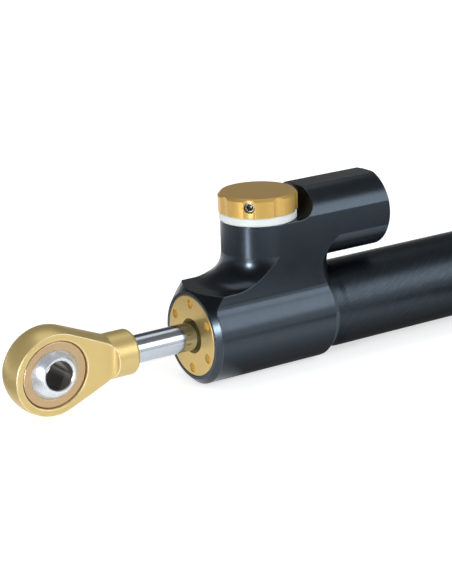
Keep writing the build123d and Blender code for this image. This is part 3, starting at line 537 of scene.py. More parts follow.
@dataclass(frozen=True)
class Finish:
    """A surface finish: its colours, its gloss and the marks of how it was made.

    Attributes:
        slot: The record's material slot.
        colour: The main colour.
        deep: The colour that the main one drifts to in patches.
        edge: The colour that shows through where an edge is rubbed.
        metallic: How metallic it is.
        roughness: How rough it is on average.
        smudge: How much handling changes the roughness.
        specular: The strength of a plain surface's reflection.
        turned: Depth of the turning marks.
        pitch: Distance between turning marks.
        blasted: Depth of the blasted grain.
        grain: Size of the blasted grain.
        hatch: Depth of the slanting polishing lines.
        lines: How much lighter those lines are.
        hairline: How much lighter the hairlines are.
        edge_radius: Radius of the softened edges.
        edge_wear_and_glint: How much of the edge colour shows, as wear and as painted highlight.
        coat: Strength of the clear skin over the metal.
        recess: The look of a bore or a hole, if it differs, such as painted shade in the ball's bore.
        bare_edge: Where the edges are rubbed bare, if they are.
    """

    slot: str
    colour: Colour
    deep: Colour
    edge: Colour
    metallic: float = 1.0
    roughness: float = 0.3
    smudge: float = 0.08
    specular: float = 0.5
    turned: float = 0.0
    pitch: float = 0.12 * MM
    blasted: float = 0.0
    grain: float = 0.1 * MM
    hatch: float = 0.0
    lines: float = 0.0
    hairline: float = 0.0
    edge_radius: float = 0.15 * MM
    edge_wear_and_glint: float = 0.3
    coat: float = 0.0
    recess: Recess | None = None
    bare_edge: BareEdge | None = None

    def material(self, name: str, turning: Turning) -> bpy.types.Material:
        """Builds the finish as a material for one piece.

        Args:
            name: The material's name.
            turning: The axis of the piece's turning marks.

        Returns:
            The material.
        """
        made = bpy.data.materials.new(name)
        made.diffuse_color = (*self.colour, 1.0)
        graph = Graph.start(made)
        place = graph.node("TexCoord").outputs["Object"]
        spun = turning.place(graph, place)
        marks = TURNING_MARKS.use(graph, Place=spun, Pitch=self.pitch)
        grain = BLASTED_GRAIN.use(graph, Place=place, Grain=self.grain)
        touch = HANDLING.use(graph, Place=place)
        edges = SOFT_EDGES.use(graph, Place=place, Radius=self.edge_radius, Wear=self.edge_wear_and_glint)
        layers = [(marks["Height"], self.turned), (grain["Height"], self.blasted)]
        colour = graph.blend(graph.times(grain["Tone"], GRAIN_DRIFT), self.colour, self.deep)
        colour = graph.blend(graph.times(touch["Hairlines"], self.hairline), colour, self.edge)
        # The edge colour: wear on most finishes, and a painted highlight on the chamfers of the eye and
        # the bronze parts.
        colour = graph.blend(edges["Mask"], colour, self.edge)
        metallic: Any = self.metallic
        roughness = self.gloss(graph, marks["Tone"], grain["Tone"], touch["Smudge"])
        if self.bare_edge is not None:
            bare = self.bare_edge.mask(graph, place, edges["Mask"])
            colour = graph.blend(bare, colour, self.bare_edge.colour)
            metallic = graph.spread(bare, 0.0, 1.0, self.metallic, self.bare_edge.metallic)
        if self.hatch:
            hatch = TUBE_HATCH.use(graph, Place=place, Radius=TUBE_RADIUS)
            colour = graph.blend(graph.times(hatch["Mask"], self.lines), colour, self.edge)
            layers.append((hatch["Height"], self.hatch))
        # A recess gets its own colour and roughness; in the ball's bore that colour is painted shade.
        if self.recess is not None:
            inside = self.recess.mask(graph, spun)
            colour = graph.blend(inside, colour, self.recess.colour)
            outside = graph.times(graph.math("SUBTRACT", 1.0, inside), roughness)
            roughness = graph.math("MULTIPLY_ADD", inside, self.recess.roughness, outside)
        shader = graph.node(
            "BsdfPrincipled", Base_Color=colour, Metallic=metallic, Roughness=roughness,
            Specular_IOR_Level=self.specular, Coat_Weight=self.coat,
            Coat_Roughness=COAT_ROUGHNESS, Normal=self.relief(graph, edges["Normal"], layers),
        )
        graph.node("OutputMaterial", Surface=shader.outputs[0])
        return made

    def gloss(self, graph: Graph, rings: Socket, patches: Socket, smudge: Socket) -> Socket:
        """Varies the roughness with the marks, the grain and handling.

        Args:
            graph: The node tree.
            rings: The tone of the turning marks.
            patches: The tone of the grain.
            smudge: The smudges of handling.

        Returns:
            The roughness.
        """
        turned = graph.math("MULTIPLY_ADD", rings, RING_GLOSS, self.roughness - RING_GLOSS / 2)
        blasted = graph.math("MULTIPLY_ADD", patches, GRAIN_GLOSS, -GRAIN_GLOSS / 2)
        level = graph.math("ADD", turned, blasted)
        return graph.math("MULTIPLY_ADD", smudge, self.smudge, level, clamp=True)

    def relief(self, graph: Graph, normal: Socket, layers: Sequence[tuple[Socket, float]]) -> Socket:
        """Lays the heights of the marks over the normal.

        Args:
            graph: The node tree.
            normal: The normal with its edges softened.
            layers: The heights and their depths, where 0 leaves one out.

        Returns:
            The normal.
        """
        for height, depth in layers:
            if depth:
                bump = graph.node("Bump", Strength=1.0, Distance=depth, Height=height, Normal=normal)
                normal = bump.outputs["Normal"]
        return normal


BLACK_ANODISED = Finish(
    slot="black_anodised", colour=(0.050, 0.062, 0.077), deep=(0.040, 0.051, 0.064),
    edge=(0.20, 0.225, 0.25), metallic=0.92, roughness=0.25, turned=1.2 * MICRON, pitch=0.18 * MM,
    blasted=0.6 * MICRON, hairline=0.03, edge_radius=0.3 * MM, edge_wear_and_glint=0.8,
    bare_edge=BareEdge((0.105, 0.135, 0.16), (0.080, -0.015, -0.015), (0.100, 0.015, 0.0205)),
)
BLACK_TUBE = Finish(
    slot="black_anodised", colour=(0.035, 0.045, 0.056), deep=(0.029, 0.037, 0.046),
    edge=(0.10, 0.115, 0.13), metallic=0.92, roughness=0.33, hatch=3.0 * MICRON, lines=0.16,
    blasted=0.6 * MICRON, hairline=0.03, edge_radius=0.8 * MM, edge_wear_and_glint=0.0,
)
GOLD_ANODISED = Finish(
    slot="gold_anodised", colour=(0.77, 0.49, 0.125), deep=(0.71, 0.44, 0.108),
    edge=(0.82, 0.62, 0.30), metallic=0.7, roughness=0.42, coat=0.6, turned=1.6 * MICRON,
    pitch=0.16 * MM, blasted=1.2 * MICRON, edge_wear_and_glint=0.6,
)
CAP_GOLD = Finish(
    slot="gold_anodised", colour=(0.64, 0.46, 0.175), deep=(0.58, 0.41, 0.145),
    edge=(0.88, 0.78, 0.5), metallic=0.8, roughness=0.36, turned=0.6 * MICRON,
    blasted=2.2 * MICRON, grain=0.13 * MM, edge_wear_and_glint=0.8,
    recess=Recess((1.0, 0.84, 0.34), 0.6, depth=45.52 * MM),
)
# The pale edge colour, shown strongly along the edges, is a painted highlight on the eye's chamfers.
EYE_GOLD = Finish(
    slot="pale_gold_anodised", colour=(0.66, 0.50, 0.205), deep=(0.60, 0.45, 0.175),
    edge=(1.0, 0.92, 0.66), metallic=0.6, roughness=0.38, blasted=2.6 * MICRON,
    grain=0.12 * MM, edge_radius=0.5 * MM, edge_wear_and_glint=1.7,
)
PLAIN_ALUMINIUM = Finish(
    slot="plain_aluminium", colour=(0.70, 0.71, 0.72), deep=(0.60, 0.61, 0.62),
    edge=(0.82, 0.82, 0.83), turned=3.0 * MICRON, pitch=0.2 * MM,
)
CHROME = Finish(
    slot="polished_chrome", colour=(0.50, 0.54, 0.60), deep=(0.45, 0.49, 0.55),
    edge=(0.66, 0.69, 0.73), roughness=0.15, turned=0.2 * MICRON, pitch=0.08 * MM,
    smudge=0.04, hairline=0.08, edge_wear_and_glint=0.2,
)
# The dark colour in the ball's bore is painted shade, standing in for the dark that the bore mirrors.
BALL_STEEL = Finish(
    slot="polished_steel", colour=(0.70, 0.735, 0.79), deep=(0.62, 0.655, 0.71),
    edge=(0.82, 0.84, 0.88), metallic=0.6, roughness=0.27, turned=0.1 * MICRON, pitch=0.1 * MM,
    smudge=0.05, hairline=0.06, recess=Recess((0.16, 0.145, 0.13), 0.24, reach=4.02 * MM),
)
POLISHED_STEEL = Finish(
    slot="polished_steel", colour=(0.60, 0.61, 0.64), deep=(0.52, 0.53, 0.56),
    edge=(0.76, 0.77, 0.79), roughness=0.14, turned=0.4 * MICRON, pitch=0.1 * MM,
    smudge=0.05, hairline=0.06,
)
DARK_STEEL = Finish(
    slot="dark_steel", colour=(0.24, 0.235, 0.235), deep=(0.12, 0.12, 0.12),
    edge=(0.80, 0.78, 0.74), roughness=0.26, blasted=1.0 * MICRON, edge_wear_and_glint=1.6,
    edge_radius=0.16 * MM,
)
# The pale edge colour, shown strongly, paints highlights on the chamfers of the bronze parts, among them
# the bearing race.
BRONZE = Finish(
    slot="bronze", colour=(0.52, 0.365, 0.205), deep=(0.46, 0.315, 0.17),
    edge=(0.95, 0.80, 0.58), metallic=0.8, roughness=0.34, turned=1.6 * MICRON,
    pitch=0.14 * MM, edge_radius=0.3 * MM, edge_wear_and_glint=1.4,
)
WHITE_NYLON = Finish(
    slot="white_nylon", colour=(0.80, 0.84, 0.83), deep=(0.75, 0.80, 0.79),
    edge=(0.86, 0.88, 0.88), metallic=0.0, roughness=0.42, specular=0.4,
    turned=1.0 * MICRON, edge_wear_and_glint=0.2,
)
SEAL_RUBBER = Finish(
    slot="seal_rubber", colour=(0.018, 0.018, 0.019), deep=(0.012, 0.012, 0.012),
    edge=(0.035, 0.035, 0.035), metallic=0.0, roughness=0.55, specular=0.35,
    blasted=2.0 * MICRON, grain=0.06 * MM,
)
SEAL_PLASTIC = Finish(
    slot="seal_plastic", colour=(0.10, 0.16, 0.13), deep=(0.07, 0.12, 0.10),
    edge=(0.16, 0.22, 0.19), metallic=0.0, roughness=0.45, specular=0.4, turned=1.0 * MICRON,
)


# Modelling


class Workpiece:
    """A mesh that is shaped with the modelling tools, standing where it belongs."""

    def __init__(self, name: str) -> None:
        """Takes over the primitive that was just added.

        Args:
            name: The piece's name.
        """
        self.made = bpy.context.object
        self.made.name = name
        bpy.ops.object.transform_apply(location=True, rotation=True, scale=True)

    @classmethod
    def bar(cls, name: str, radius: float, start: Vector, end: Vector, sides: int = 48) -> "Workpiece":
        """Adds a round or many-sided bar between two points.

        Args:
            name: The piece's name.
            radius: The bar's radius, over its corners.
            start: The middle of its first end.
            end: The middle of its second end.
            sides: How many sides it has.

        Returns:
            The bar.
        """
        run = end - start
        bpy.ops.mesh.primitive_cylinder_add(
            vertices=sides, radius=radius, depth=run.length, location=(start + end) / 2,
            rotation=run.to_track_quat("Z", "X").to_euler(),
        )
        return cls(name)

    @classmethod
    def coil(
        cls, name: str, wire: float, reach: float, turns: int, pitch: float, centre: Vector,
    ) -> "Workpiece":
        """Winds a wire into a closed coil about an upright axis.

        Args:
            name: The piece's name.
            wire: The wire's radius.
            reach: Distance from the axis to the wire's middle.
            turns: How many turns the coil gets.
            pitch: How much a turn rises.
            centre: The middle of the coil.

        Returns:
            The coil.
        """
        bpy.ops.mesh.primitive_circle_add(
            vertices=WIRE_SIDES, radius=wire, location=(reach, 0.0, 0.0),
            rotation=(math.pi / 2, 0.0, 0.0),
        )
        coil = cls(name)
        coil.apply(
            "SCREW", axis="Z", angle=2 * math.pi, screw_offset=pitch, iterations=turns,
            steps=COIL_STEPS, render_steps=COIL_STEPS, use_merge_vertices=False,
        )
        bpy.ops.object.mode_set(mode="EDIT")
        bpy.ops.mesh.select_all(action="SELECT")
        bpy.ops.mesh.fill_holes(sides=0)
        bpy.ops.mesh.select_all(action="SELECT")
        bpy.ops.mesh.normals_make_consistent(inside=False)
        bpy.ops.transform.translate(value=centre - Vector((0.0, 0.0, turns * pitch / 2)))
        coil.close()
        return coil

    def open_end(self, out: Vector) -> None:
        """Opens the mesh for editing with the outermost face on one side selected.

        Args:
            out: The direction that it faces.
        """
        faces = [face for face in self.made.data.polygons if face.normal.dot(out) > FACES_THAT_WAY]
        last = max(faces, key=lambda face: face.center.dot(out)).index
        bpy.ops.object.mode_set(mode="EDIT")
        bpy.ops.mesh.select_mode(type="FACE")
        bpy.ops.mesh.select_all(action="DESELECT")
        bpy.ops.object.mode_set(mode="OBJECT")
        self.made.data.polygons[last].select = True
        bpy.ops.object.mode_set(mode="EDIT")

    def step(self, inward: float, along: Vector) -> None:
        """Insets the selected face by a width and moves the new one along."""
        bpy.ops.mesh.inset(thickness=inward, depth=0.0)
        bpy.ops.transform.translate(value=along)

    def grow(self, along: Vector, factor: float = 1.0) -> None:
        """Extrudes the selected face and then resizes it by a factor."""
        bpy.ops.mesh.extrude_region_move(TRANSFORM_OT_translate={"value": along})
        bpy.ops.transform.resize(value=(factor, factor, factor))

    def close(self) -> None:
        """Ends editing."""
        bpy.ops.object.mode_set(mode="OBJECT")

    def apply(self, kind: str, **settings: Any) -> None:
        """Adds a modifier and applies it.

        Args:
            kind: The modifier's type.
            settings: Values for its properties.
        """
        bpy.ops.object.select_all(action="DESELECT")
        self.made.select_set(True)
        bpy.context.view_layer.objects.active = self.made
        held = self.made.modifiers.new(kind.lower(), kind)
        for name, value in settings.items():
            setattr(held, name, value)
        bpy.ops.object.modifier_apply(modifier=held.name)

    def cut(self, tool: "Workpiece") -> None:
        """Cuts another workpiece out of this one and throws that away."""
        self.apply("BOOLEAN", operation="DIFFERENCE", object=tool.made, solver="EXACT")
        bpy.data.objects.remove(tool.made)

    def hand_over(self, node: str, body: str, finish: Finish, turning: Turning) -> Piece:
        """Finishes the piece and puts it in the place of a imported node.

        Args:
            node: The node that it replaces.
            body: The body that it moves with.
            finish: Its finish.
            turning: The axis of its turning marks.

        Returns:
            The finished piece.
        """
        bpy.ops.object.shade_smooth_by_angle(angle=SMOOTH_ANGLE)
        self.made.data.materials.clear()
        self.made.data.materials.append(finish.material(self.made.name + "_finish", turning))
        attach(self.made, body)
        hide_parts(node)
        return self.made


@dataclass(frozen=True)
class SocketScrew:
    """A threaded screw with a hexagon socket, with or without a head.

    Attributes:
        radius: The radius over its thread.
        length: Its whole length.
        socket: Half the width across the socket's flats.
        socket_depth: Depth of the socket.
        rim: Width of the chamfer round its outer end.
        head_radius: The head's radius, or 0 if it has none.
        head_length: The head's length.
        pitch: Pitch of the thread.
        thread: Depth of the thread.
        edge: Width of the bevel on its sharp edges.
    """

    radius: float
    length: float
    socket: float
    socket_depth: float
    rim: float
    head_radius: float = 0.0
    head_length: float = 0.0
    pitch: float = 0.5 * MM
    thread: float = 0.15 * MM
    edge: float = 0.06 * MM

    def make(self, name: str, outer: Vector, out: Vector) -> Workpiece:
        """Builds the screw.

        Args:
            name: The piece's name.
            outer: The middle of its outer end.
            out: The direction that this end faces.

        Returns:
            The screw.
        """
        reach = self.head_radius or self.radius
        top = self.head_length or self.rim + self.pitch
        screw = Workpiece.bar(name, reach, outer - out * top, outer - out * self.rim)
        screw.open_end(out)
        screw.step(self.rim, out * self.rim)
        screw.close()
        self.cut_thread(screw, out, reach, self.length - top)
        screw.cut(self.hexagon(outer, out))
        screw.apply(
            "BEVEL", width=self.edge, segments=2, limit_method="ANGLE", angle_limit=BEVEL_ANGLE,
        )
        return screw

    def cut_thread(self, screw: Workpiece, out: Vector, reach: float, run: float) -> None:
        """Extrudes the threaded shank, ridge by ridge, from the inner end.

        Args:
            screw: The screw so far.
            out: The direction that its outer end faces.
            reach: The radius of its inner end so far.
            run: Length of the shank.
        """
        core = self.radius - self.thread
        ridges = int(run / self.pitch)
        half = run / ridges / 2
        screw.open_end(-out)
        bpy.ops.mesh.inset(thickness=reach - core, depth=0.0)
        for _ in range(ridges):
            screw.grow(-out * half, self.radius / core)
            screw.grow(-out * half, core / self.radius)
        screw.close()

    def hexagon(self, outer: Vector, out: Vector) -> Workpiece:
        """The hexagon socket with its drilled bottom, as a tool to cut with.

        Args:
            outer: The middle of the screw's outer end.
            out: The direction that this end faces.

        Returns:
            The tool.
        """
        corner = self.socket / math.cos(math.pi / 6)
        bottom = outer - out * self.socket_depth
        tool = Workpiece.bar("socket_tool", corner, bottom, outer + out * self.socket_depth, sides=6)
        tool.open_end(-out)
        tool.step(self.socket * DRILL_INSET, -out * self.socket * DRILL_DEPTH)
        tool.close()
        return tool


# Sub-assemblies


@dataclass
class SubAssembly:
    """A group of pieces that belong together.

    Attributes:
    """

    frame: dict[str, Any]

    def dress(self) -> None:
        """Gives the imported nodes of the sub-assembly their finishes."""

    def build(self) -> list[Piece]:
        """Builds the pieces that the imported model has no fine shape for."""
        return []

    def give(self, turning: Turning, **finishes: Finish) -> None:
        """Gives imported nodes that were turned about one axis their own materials.

        Args:
            turning: The axis.
            finishes: Their finishes, by node name.
        """
        for name, finish in finishes.items():
            node = self.frame["nodes"][name]
            made = finish.material(name + "_finish", turning)
            if not node.material_slots:
                node.data.materials.append(made)
            for held in node.material_slots:
                held.material = made
            log.info("dressed %s as %s", name, finish.slot)


@dataclass
class Tube(SubAssembly):
    """The tube, the screwed plug that closes it and their seals."""

    def dress(self) -> None:
        """Gives the tube, its plug and the seals their finishes."""
        self.give(
            Turning(), cylinder_tube=BLACK_TUBE, rear_plug=BLACK_ANODISED,
            rear_plug_o_ring=SEAL_RUBBER, tube_o_ring=SEAL_RUBBER,
        )


@dataclass
class Head(SubAssembly):
    """The black head block with the gold gland cap and the rod's guides and seals.

    Attributes:
        tower_foot: Height above which the block is turned about the tower's axis.
    """

    tower_foot: float = 13.0 * MM

    def dress(self) -> None:
        """Gives the block, the cap, the guides and the seals their finishes."""
        about_both = Turning(upper=Turning(Lie.UPRIGHT, TOWER), split=self.tower_foot)
        self.give(about_both, head_block=BLACK_ANODISED)
        self.give(
            Turning(), gland_cap=CAP_GOLD, gland_o_ring=SEAL_RUBBER, rod_wiper=SEAL_RUBBER,
            rod_seal=SEAL_RUBBER, rod_bush=BRONZE,
        )


@dataclass
class Rod(SubAssembly):
    """The chromed rod, its eye with the spherical bearing, and the piston."""

    def dress(self) -> None:
        """Gives the rod, the eye, the bearing and the piston their finishes."""
        self.give(
            Turning(), piston_rod=CHROME, rod_eye=EYE_GOLD, piston=PLAIN_ALUMINIUM,
            piston_ring=SEAL_PLASTIC, piston_shims=POLISHED_STEEL, piston_nut=POLISHED_STEEL,
        )
        self.give(Turning(Lie.ACROSS), bearing_race=BRONZE, bearing_ball=BALL_STEEL)


@dataclass
class Adjuster(SubAssembly):
    """The damping knob with its index ring, click detent, spindle and needle valve.

    Attributes:
        screw_azimuth: Direction that the set screw faces, in degrees from X.
        screw_reach: Distance from the axis to the set screw's outer end.
        set_screw: The set screw's sizes.
        wire_radius: Radius of the detent spring's wire.
        spring_turns: How many turns the spring has.
    """

    screw_azimuth: float = -136.9
    screw_reach: float = 10.11 * MM
    set_screw: SocketScrew = SocketScrew(
        radius=1.5 * MM, length=7.55 * MM, socket=0.87 * MM, socket_depth=1.4 * MM, rim=0.2 * MM,
    )
    wire_radius: float = 0.14 * MM
    spring_turns: int = 6

    def dress(self) -> None:
        """Gives the knob and what lies under it their finishes."""
        self.give(
            Turning(Lie.UPRIGHT, TOWER), adjuster_knob=GOLD_ANODISED,
            adjuster_spindle=POLISHED_STEEL, spindle_o_ring=SEAL_RUBBER, spindle_bush=BRONZE,
            needle_seat=BRONZE, adjuster_needle=POLISHED_STEEL, index_ring=WHITE_NYLON,
            detent_ball=POLISHED_STEEL,
        )

    def build(self) -> list[Piece]:
        """Builds the knob's set screw and the coil spring of its click detent."""
        return [self.build_set_screw(), self.build_spring()]

    def build_set_screw(self) -> Piece:
        """Builds the set screw, which looks sideways out of the knob.

        Returns:
            The screw.
        """
        low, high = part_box("knob_set_screw")
        out = heading(self.screw_azimuth)
        outer = Vector((TOWER[0], 0.0, (low.z + high.z) / 2)) + out * self.screw_reach
        screw = self.set_screw.make("set_screw", outer, out)
        return screw.hand_over("knob_set_screw", "knob", DARK_STEEL, Turning(Lie.UPRIGHT, tuple(outer)))

    def build_spring(self) -> Piece:
        """Builds the coil spring that presses the detent's ball against the index ring.

        Returns:
            The spring.
        """
        low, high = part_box("detent_spring")
        centre = (low + high) / 2
        reach = (high.x - low.x) / 2 - self.wire_radius
        pitch = (high.z - low.z - 2 * self.wire_radius) / self.spring_turns
        spring = Workpiece.coil(
            "spring_coil", self.wire_radius, reach, self.spring_turns, pitch, centre,
        )
        axis = Turning(Lie.UPRIGHT, tuple(centre))
        return spring.hand_over("detent_spring", "damper_body", POLISHED_STEEL, axis)


@dataclass
class Reservoir(SubAssembly):
    """What the oil reservoir holds: the floating piston, its cap and the fill screw.

    Attributes:
        axis_z: Height of the reservoir's axis.
        fill_screw: The fill screw's sizes.
    """

    axis_z: float = 27.0 * MM
    fill_screw: SocketScrew = SocketScrew(
        radius=2.0 * MM, length=2.6 * MM, socket=1.2 * MM, socket_depth=1.0 * MM, rim=0.25 * MM,
        head_radius=3.39 * MM, head_length=1.1 * MM,
    )

    def dress(self) -> None:
        """Gives the floating piston, the cap, the circlip and the seals their finishes."""
        self.give(
            Turning(centre=(0.0, 0.0, self.axis_z)), free_piston=PLAIN_ALUMINIUM,
            free_piston_o_ring=SEAL_RUBBER, reservoir_cap=BLACK_ANODISED,
            reservoir_cap_o_ring=SEAL_RUBBER, reservoir_circlip=DARK_STEEL,
        )

    def build(self) -> list[Piece]:
        """Builds the fill screw in the middle of the reservoir's cap.

        Returns:
            The screw, as the only piece.
        """
        outer = Vector((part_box("fill_screw")[1].x, 0.0, self.axis_z))
        screw = self.fill_screw.make("cap_fill_screw", outer, Vector((1.0, 0.0, 0.0)))
        axis = Turning(centre=tuple(outer))
        return [screw.hand_over("fill_screw", "damper_body", POLISHED_STEEL, axis)]


# Studio


@dataclass(frozen=True)
class Lamp:
    """A soft rectangular lamp that points at the damper.

    Attributes:
        name: The lamp's name.
        azimuth: Direction in degrees from the X axis, turning towards Y.
        elevation: Direction in degrees above the floor.
        distance: How far it stands from the damper.
        width: Its width.
        height: Its height.
        radiance: How bright its face is, where 1 is white.
        tint: Its colour.
    """

    name: str
    azimuth: float
    elevation: float
    distance: float
    width: float
    height: float
    radiance: float
    tint: Colour = WHITE

    def place(self, target: Vector) -> None:
        """Adds the lamp to the scene.

        Args:
            target: The point that it is aimed at.
        """
        data = bpy.data.lights.new(self.name, "AREA")
        data.shape = "RECTANGLE"
        data.size = self.width
        data.size_y = self.height
        data.energy = self.radiance * math.pi * self.width * self.height
        data.color = self.tint
        made = bpy.data.objects.new(self.name, data)
        bpy.context.scene.collection.objects.link(made)
        out = heading(self.azimuth, self.elevation)
        made.location = target + out * self.distance
        made.rotation_euler = out.to_track_quat("Z", "Y").to_euler()
        made.visible_camera = False


@dataclass
class Studio:
    """The floor, the surroundings, the lamps and the camera.

    A stretch is a pair of values between which a tone sets in or fades out.

    Attributes:
        camera_place: Where the camera stands.
        camera_right: The picture's right.
        camera_up: The picture's upright.
        focal_pixels: The focal length in pixels of the picture.
        target: The point that the lamps are aimed at.
        floor_reach: Half the floor's width.
        paper: The floor's colour.
        mirrored_shade: Its colour in the painted shade, which only metal sees.
        floor_lift: Light added to the floor where it is seen, which makes it white.
        far_lift: The same far away, where the lamps don't reach.
        far_floor: Stretch from the middle to far away.
        shade: Stretch from the barrel's axis in which the painted shade under the barrel, seen only in
            metal, turns white.
        barrel: Stretch on X from the tower in which that painted shade under the barrel sets in.
        pool_rim: Stretch from the tower in which the painted pool of light gives way to painted shade.
        mirrored_shade_rim: Stretch from the tower in which that painted shade ends.
        mirrored_shade_squash: How much nearer the painted shade's outer edge is beside the tube.
        lit_rim: Stretch from the tower in which the floor, as metal sees it, is painted dark on the dark
            side.
        lane_azimuth: Direction of the painted reflection of the key lamp, a lane on the floor that glows
            for metal only.
        lane_side: Stretch from the middle of that reflection in which it fades sideways.
        lane_start: Stretch from the tower in which it sets in.
        lane_end: Stretch from the tower in which it ends.
        lane_glow: Its brightness.
        dark: Brightness of what lies outside the light, as metal mirrors it.
        dark_side: Direction in which the surroundings are darkest in metal.
        dark_spread: Cosines of the angle to it between which they turn dark.
        far: Brightness of what lies behind the damper, as metal mirrors it.
        far_side: Direction in which that lies.
        far_spread: Cosines of the angle to it between which that brightness sets in.
        ambient: Strength of the surroundings as light on the damper.
        ceiling_rise: Sines of the elevation between which white turns to the ceiling.
        ceiling: Brightness of the ceiling, as metal mirrors it.
        lamps: The soft lamps.
    """

    camera_place: Place = (-0.227376, -0.436571, 0.170044)
    camera_right: Place = (0.8312, -0.5549, -0.03496)
    camera_up: Place = (0.1905, 0.2252, 0.9555)
    focal_pixels: float = 1944.5
    target: Place = (0.06, 0.0, 0.01)
    floor_reach: float = 3.0
    paper: Colour = (0.8, 0.8, 0.8)
    mirrored_shade: Colour = (0.02, 0.02, 0.02)
    floor_lift: float = 0.6
    far_lift: float = 0.7
    far_floor: Stretch = (0.3, 1.5)
    shade: Stretch = (0.008, 0.030)
    barrel: Stretch = (-0.019, -0.009)
    pool_rim: Stretch = (0.078, 0.096)
    mirrored_shade_rim: Stretch = (0.150, 0.170)
    mirrored_shade_squash: float = 1.08
    lit_rim: Stretch = (0.180, 0.200)
    lane_azimuth: float = -157.0
    lane_side: Stretch = (0.006, 0.012)
    lane_start: Stretch = (0.088, 0.100)
    lane_end: Stretch = (0.170, 0.185)
    lane_glow: float = 13.0
    dark: float = 0.12
    dark_side: Place = (-0.92, -0.39, 0.0)
    dark_spread: Stretch = (-0.2, 0.6)
    far: float = 0.35
    far_side: Place = (0.545, 0.838, 0.0)
    far_spread: Stretch = (0.0, 0.7)
    ambient: float = 0.40
    ceiling_rise: Stretch = (0.10, 0.34)
    ceiling: float = 0.26
    lamps: Sequence[Lamp] = (
        Lamp("key", -154.0, 9.0, 0.5, 0.06, 0.10, 70.0, (0.95, 0.98, 1.0)),
        Lamp("left_card", 172.0, 5.0, 0.8, 0.4, 0.12, 0.5, (0.95, 0.98, 1.0)),
        Lamp("right_softbox", -53.0, 24.0, 1.0, 0.9, 0.50, 2.9, (0.94, 0.98, 1.0)),
        Lamp("overhead", 60.0, 74.0, 1.2, 1.0, 1.0, 1.0),
    )

    def camera(self) -> None:
        """Stands the camera where the photograph was taken from."""
        data = bpy.data.cameras.new("camera")
        data.lens = self.focal_pixels * data.sensor_width / IMAGE_HEIGHT
        data.clip_start = 0.01
        made = bpy.data.objects.new("camera", data)
        bpy.context.scene.collection.objects.link(made)
        right = Vector(self.camera_right).normalized()
        back = right.cross(Vector(self.camera_up)).normalized()
        turn = Matrix((right, back.cross(right), back)).transposed().to_4x4()
        made.matrix_world = Matrix.Translation(self.camera_place) @ turn
        bpy.context.scene.camera = made

    def surroundings(self) -> None:
        """White behind the damper, with a dark ceiling in what metal mirrors."""
        world = bpy.data.worlds.new("studio")
        graph = Graph.start(world)
        path = graph.node("LightPath").outputs
        way = graph.node("TexCoord").outputs["Generated"]
        above = graph.spread(graph.apart(way)[2], *self.ceiling_rise, 1.0, self.ceiling)
        beside = graph.spread(graph.dot(way, self.dark_side), *self.dark_spread, 1.0, self.dark)
        behind = graph.spread(graph.dot(way, self.far_side), *self.far_spread, 1.0, self.far)
        mirrored = graph.times(path["Is Glossy Ray"], above, beside, behind)
        straight = graph.math("MAXIMUM", path["Is Camera Ray"], path["Is Transmission Ray"])
        other = graph.times(path["Is Diffuse Ray"], self.ambient)
        strength = graph.math("MAXIMUM", straight, graph.math("MAXIMUM", mirrored, other))
        light = graph.node("Background", Color=WHITE, Strength=strength)
        graph.node("OutputWorld", Surface=light.outputs[0])
        bpy.context.scene.world = world

    def floor(self, height: float) -> None:
        """Lays a pale floor that keeps the shadow and fades into the white surroundings, with painted
        light and shade that only metal mirrors.

        Args:
            height: Where the floor lies on Z.
        """
        bpy.ops.mesh.primitive_plane_add(size=2 * self.floor_reach, location=(0.0, 0.0, height))
        made = bpy.context.object
        made.name = "floor"
        paper = bpy.data.materials.new("floor_paper")
        graph = Graph.start(paper)
        path = graph.node("LightPath").outputs
        mirrored = path["Is Glossy Ray"]
        place = graph.node("TexCoord").outputs["Object"]
        flat = graph.vector("SUBTRACT", place, TOWER)
        pool = self.pool(graph, flat)
        # Painted light and shade: to metal the floor glows white in the painted pool and turns dark
        # outside it.
        shade = graph.times(mirrored, graph.math("SUBTRACT", 1.0, pool))
        matt = graph.node("BsdfDiffuse", Color=graph.blend(shade, self.paper, self.mirrored_shade))
        seen = graph.math("MAXIMUM", path["Is Camera Ray"], graph.times(mirrored, pool))
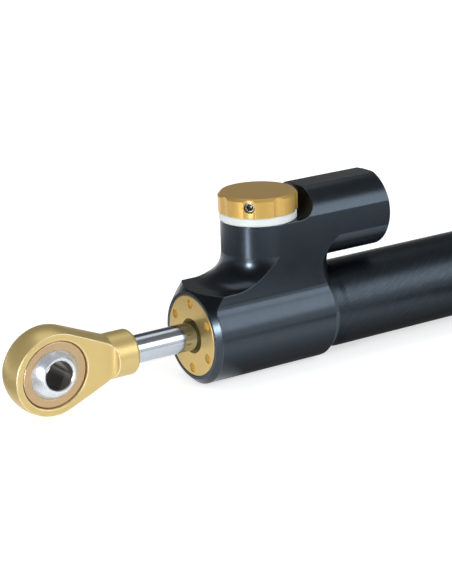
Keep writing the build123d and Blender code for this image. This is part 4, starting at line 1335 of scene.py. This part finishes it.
        # Painted reflection of the key lamp: the lane glows for metal only.
        glow = graph.times(mirrored, self.painted_key_reflection(graph, flat), self.lane_glow)
        away = graph.length(*graph.apart(place)[:2])
        level = graph.spread(away, *self.far_floor, self.floor_lift, self.far_lift)
        strength = graph.math("MULTIPLY_ADD", seen, level, glow)
        lift = graph.node("Emission", Color=WHITE, Strength=strength)
        both = graph.node("AddShader", matt.outputs[0], lift.outputs[0])
        graph.node("OutputMaterial", Surface=both.outputs[0])
        made.data.materials.append(paper)
        made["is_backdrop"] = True

    def pool(self, graph: Graph, flat: Socket) -> Socket:
        """Marks the painted pool of light inside and outside the painted shade, as metal mirrors the
        floor.

        Args:
            graph: The node tree.
            flat: Coordinates on the floor, from the foot of the tower.

        Returns:
            1 in the painted light and less in the painted shade and under the barrel and tube.
        """
        ahead, aside, _ = graph.apart(flat)
        away = graph.math("ABSOLUTE", aside)
        under = graph.spread(away, *self.shade, self.dark, 1.0)
        before = graph.spread(ahead, *self.barrel, 1.0, 0.0)
        near = graph.math("MAXIMUM", under, before)
        inner = graph.spread(graph.length(ahead, aside), *self.pool_rim, 1.0, self.dark)
        left = graph.math("MINIMUM", ahead, 0.0)
        outer = graph.spread(graph.length(left, graph.times(away, self.mirrored_shade_squash)), *self.mirrored_shade_rim)
        lit = graph.spread(graph.dot(flat, self.dark_side), *self.lit_rim, 1.0, self.dark)
        return graph.times(near, graph.math("MAXIMUM", inner, graph.times(outer, lit)))

    def painted_key_reflection(self, graph: Graph, flat: Socket) -> Socket:
        """Marks the lane towards the key lamp that glows for metal only, a painted reflection of that
        lamp.

        Args:
            graph: The node tree.
            flat: Coordinates on the floor, from the foot of the tower.

        Returns:
            1 in the lane and 0 beside it.
        """
        forward = graph.dot(flat, heading(self.lane_azimuth))
        beside = graph.math("ABSOLUTE", graph.dot(flat, heading(self.lane_azimuth - 90.0)))
        width = graph.spread(beside, *self.lane_side, 1.0, 0.0)
        start = graph.spread(forward, *self.lane_start)
        return graph.times(width, start, graph.spread(forward, *self.lane_end, 1.0, 0.0))

    def build(self) -> None:
        """Sets the whole studio up."""
        self.camera()
        self.surroundings()
        self.floor(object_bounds()[0].z)
        for lamp in self.lamps:
            lamp.place(Vector(self.target))
        bpy.context.scene.view_settings.view_transform = "Standard"


def main() -> None:
    """Dresses the damper, adds its fine pieces and sets the studio up."""
    logging.basicConfig(level=logging.INFO, format="%(name)s: %(message)s")
    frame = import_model()
    for kind in (Tube, Head, Rod, Adjuster, Reservoir):
        part = kind(frame)
        part.dress()
        for piece in part.build():
            log.info("built %s", piece.name)
    Studio().build()


if __name__ == "__main__":
    main()
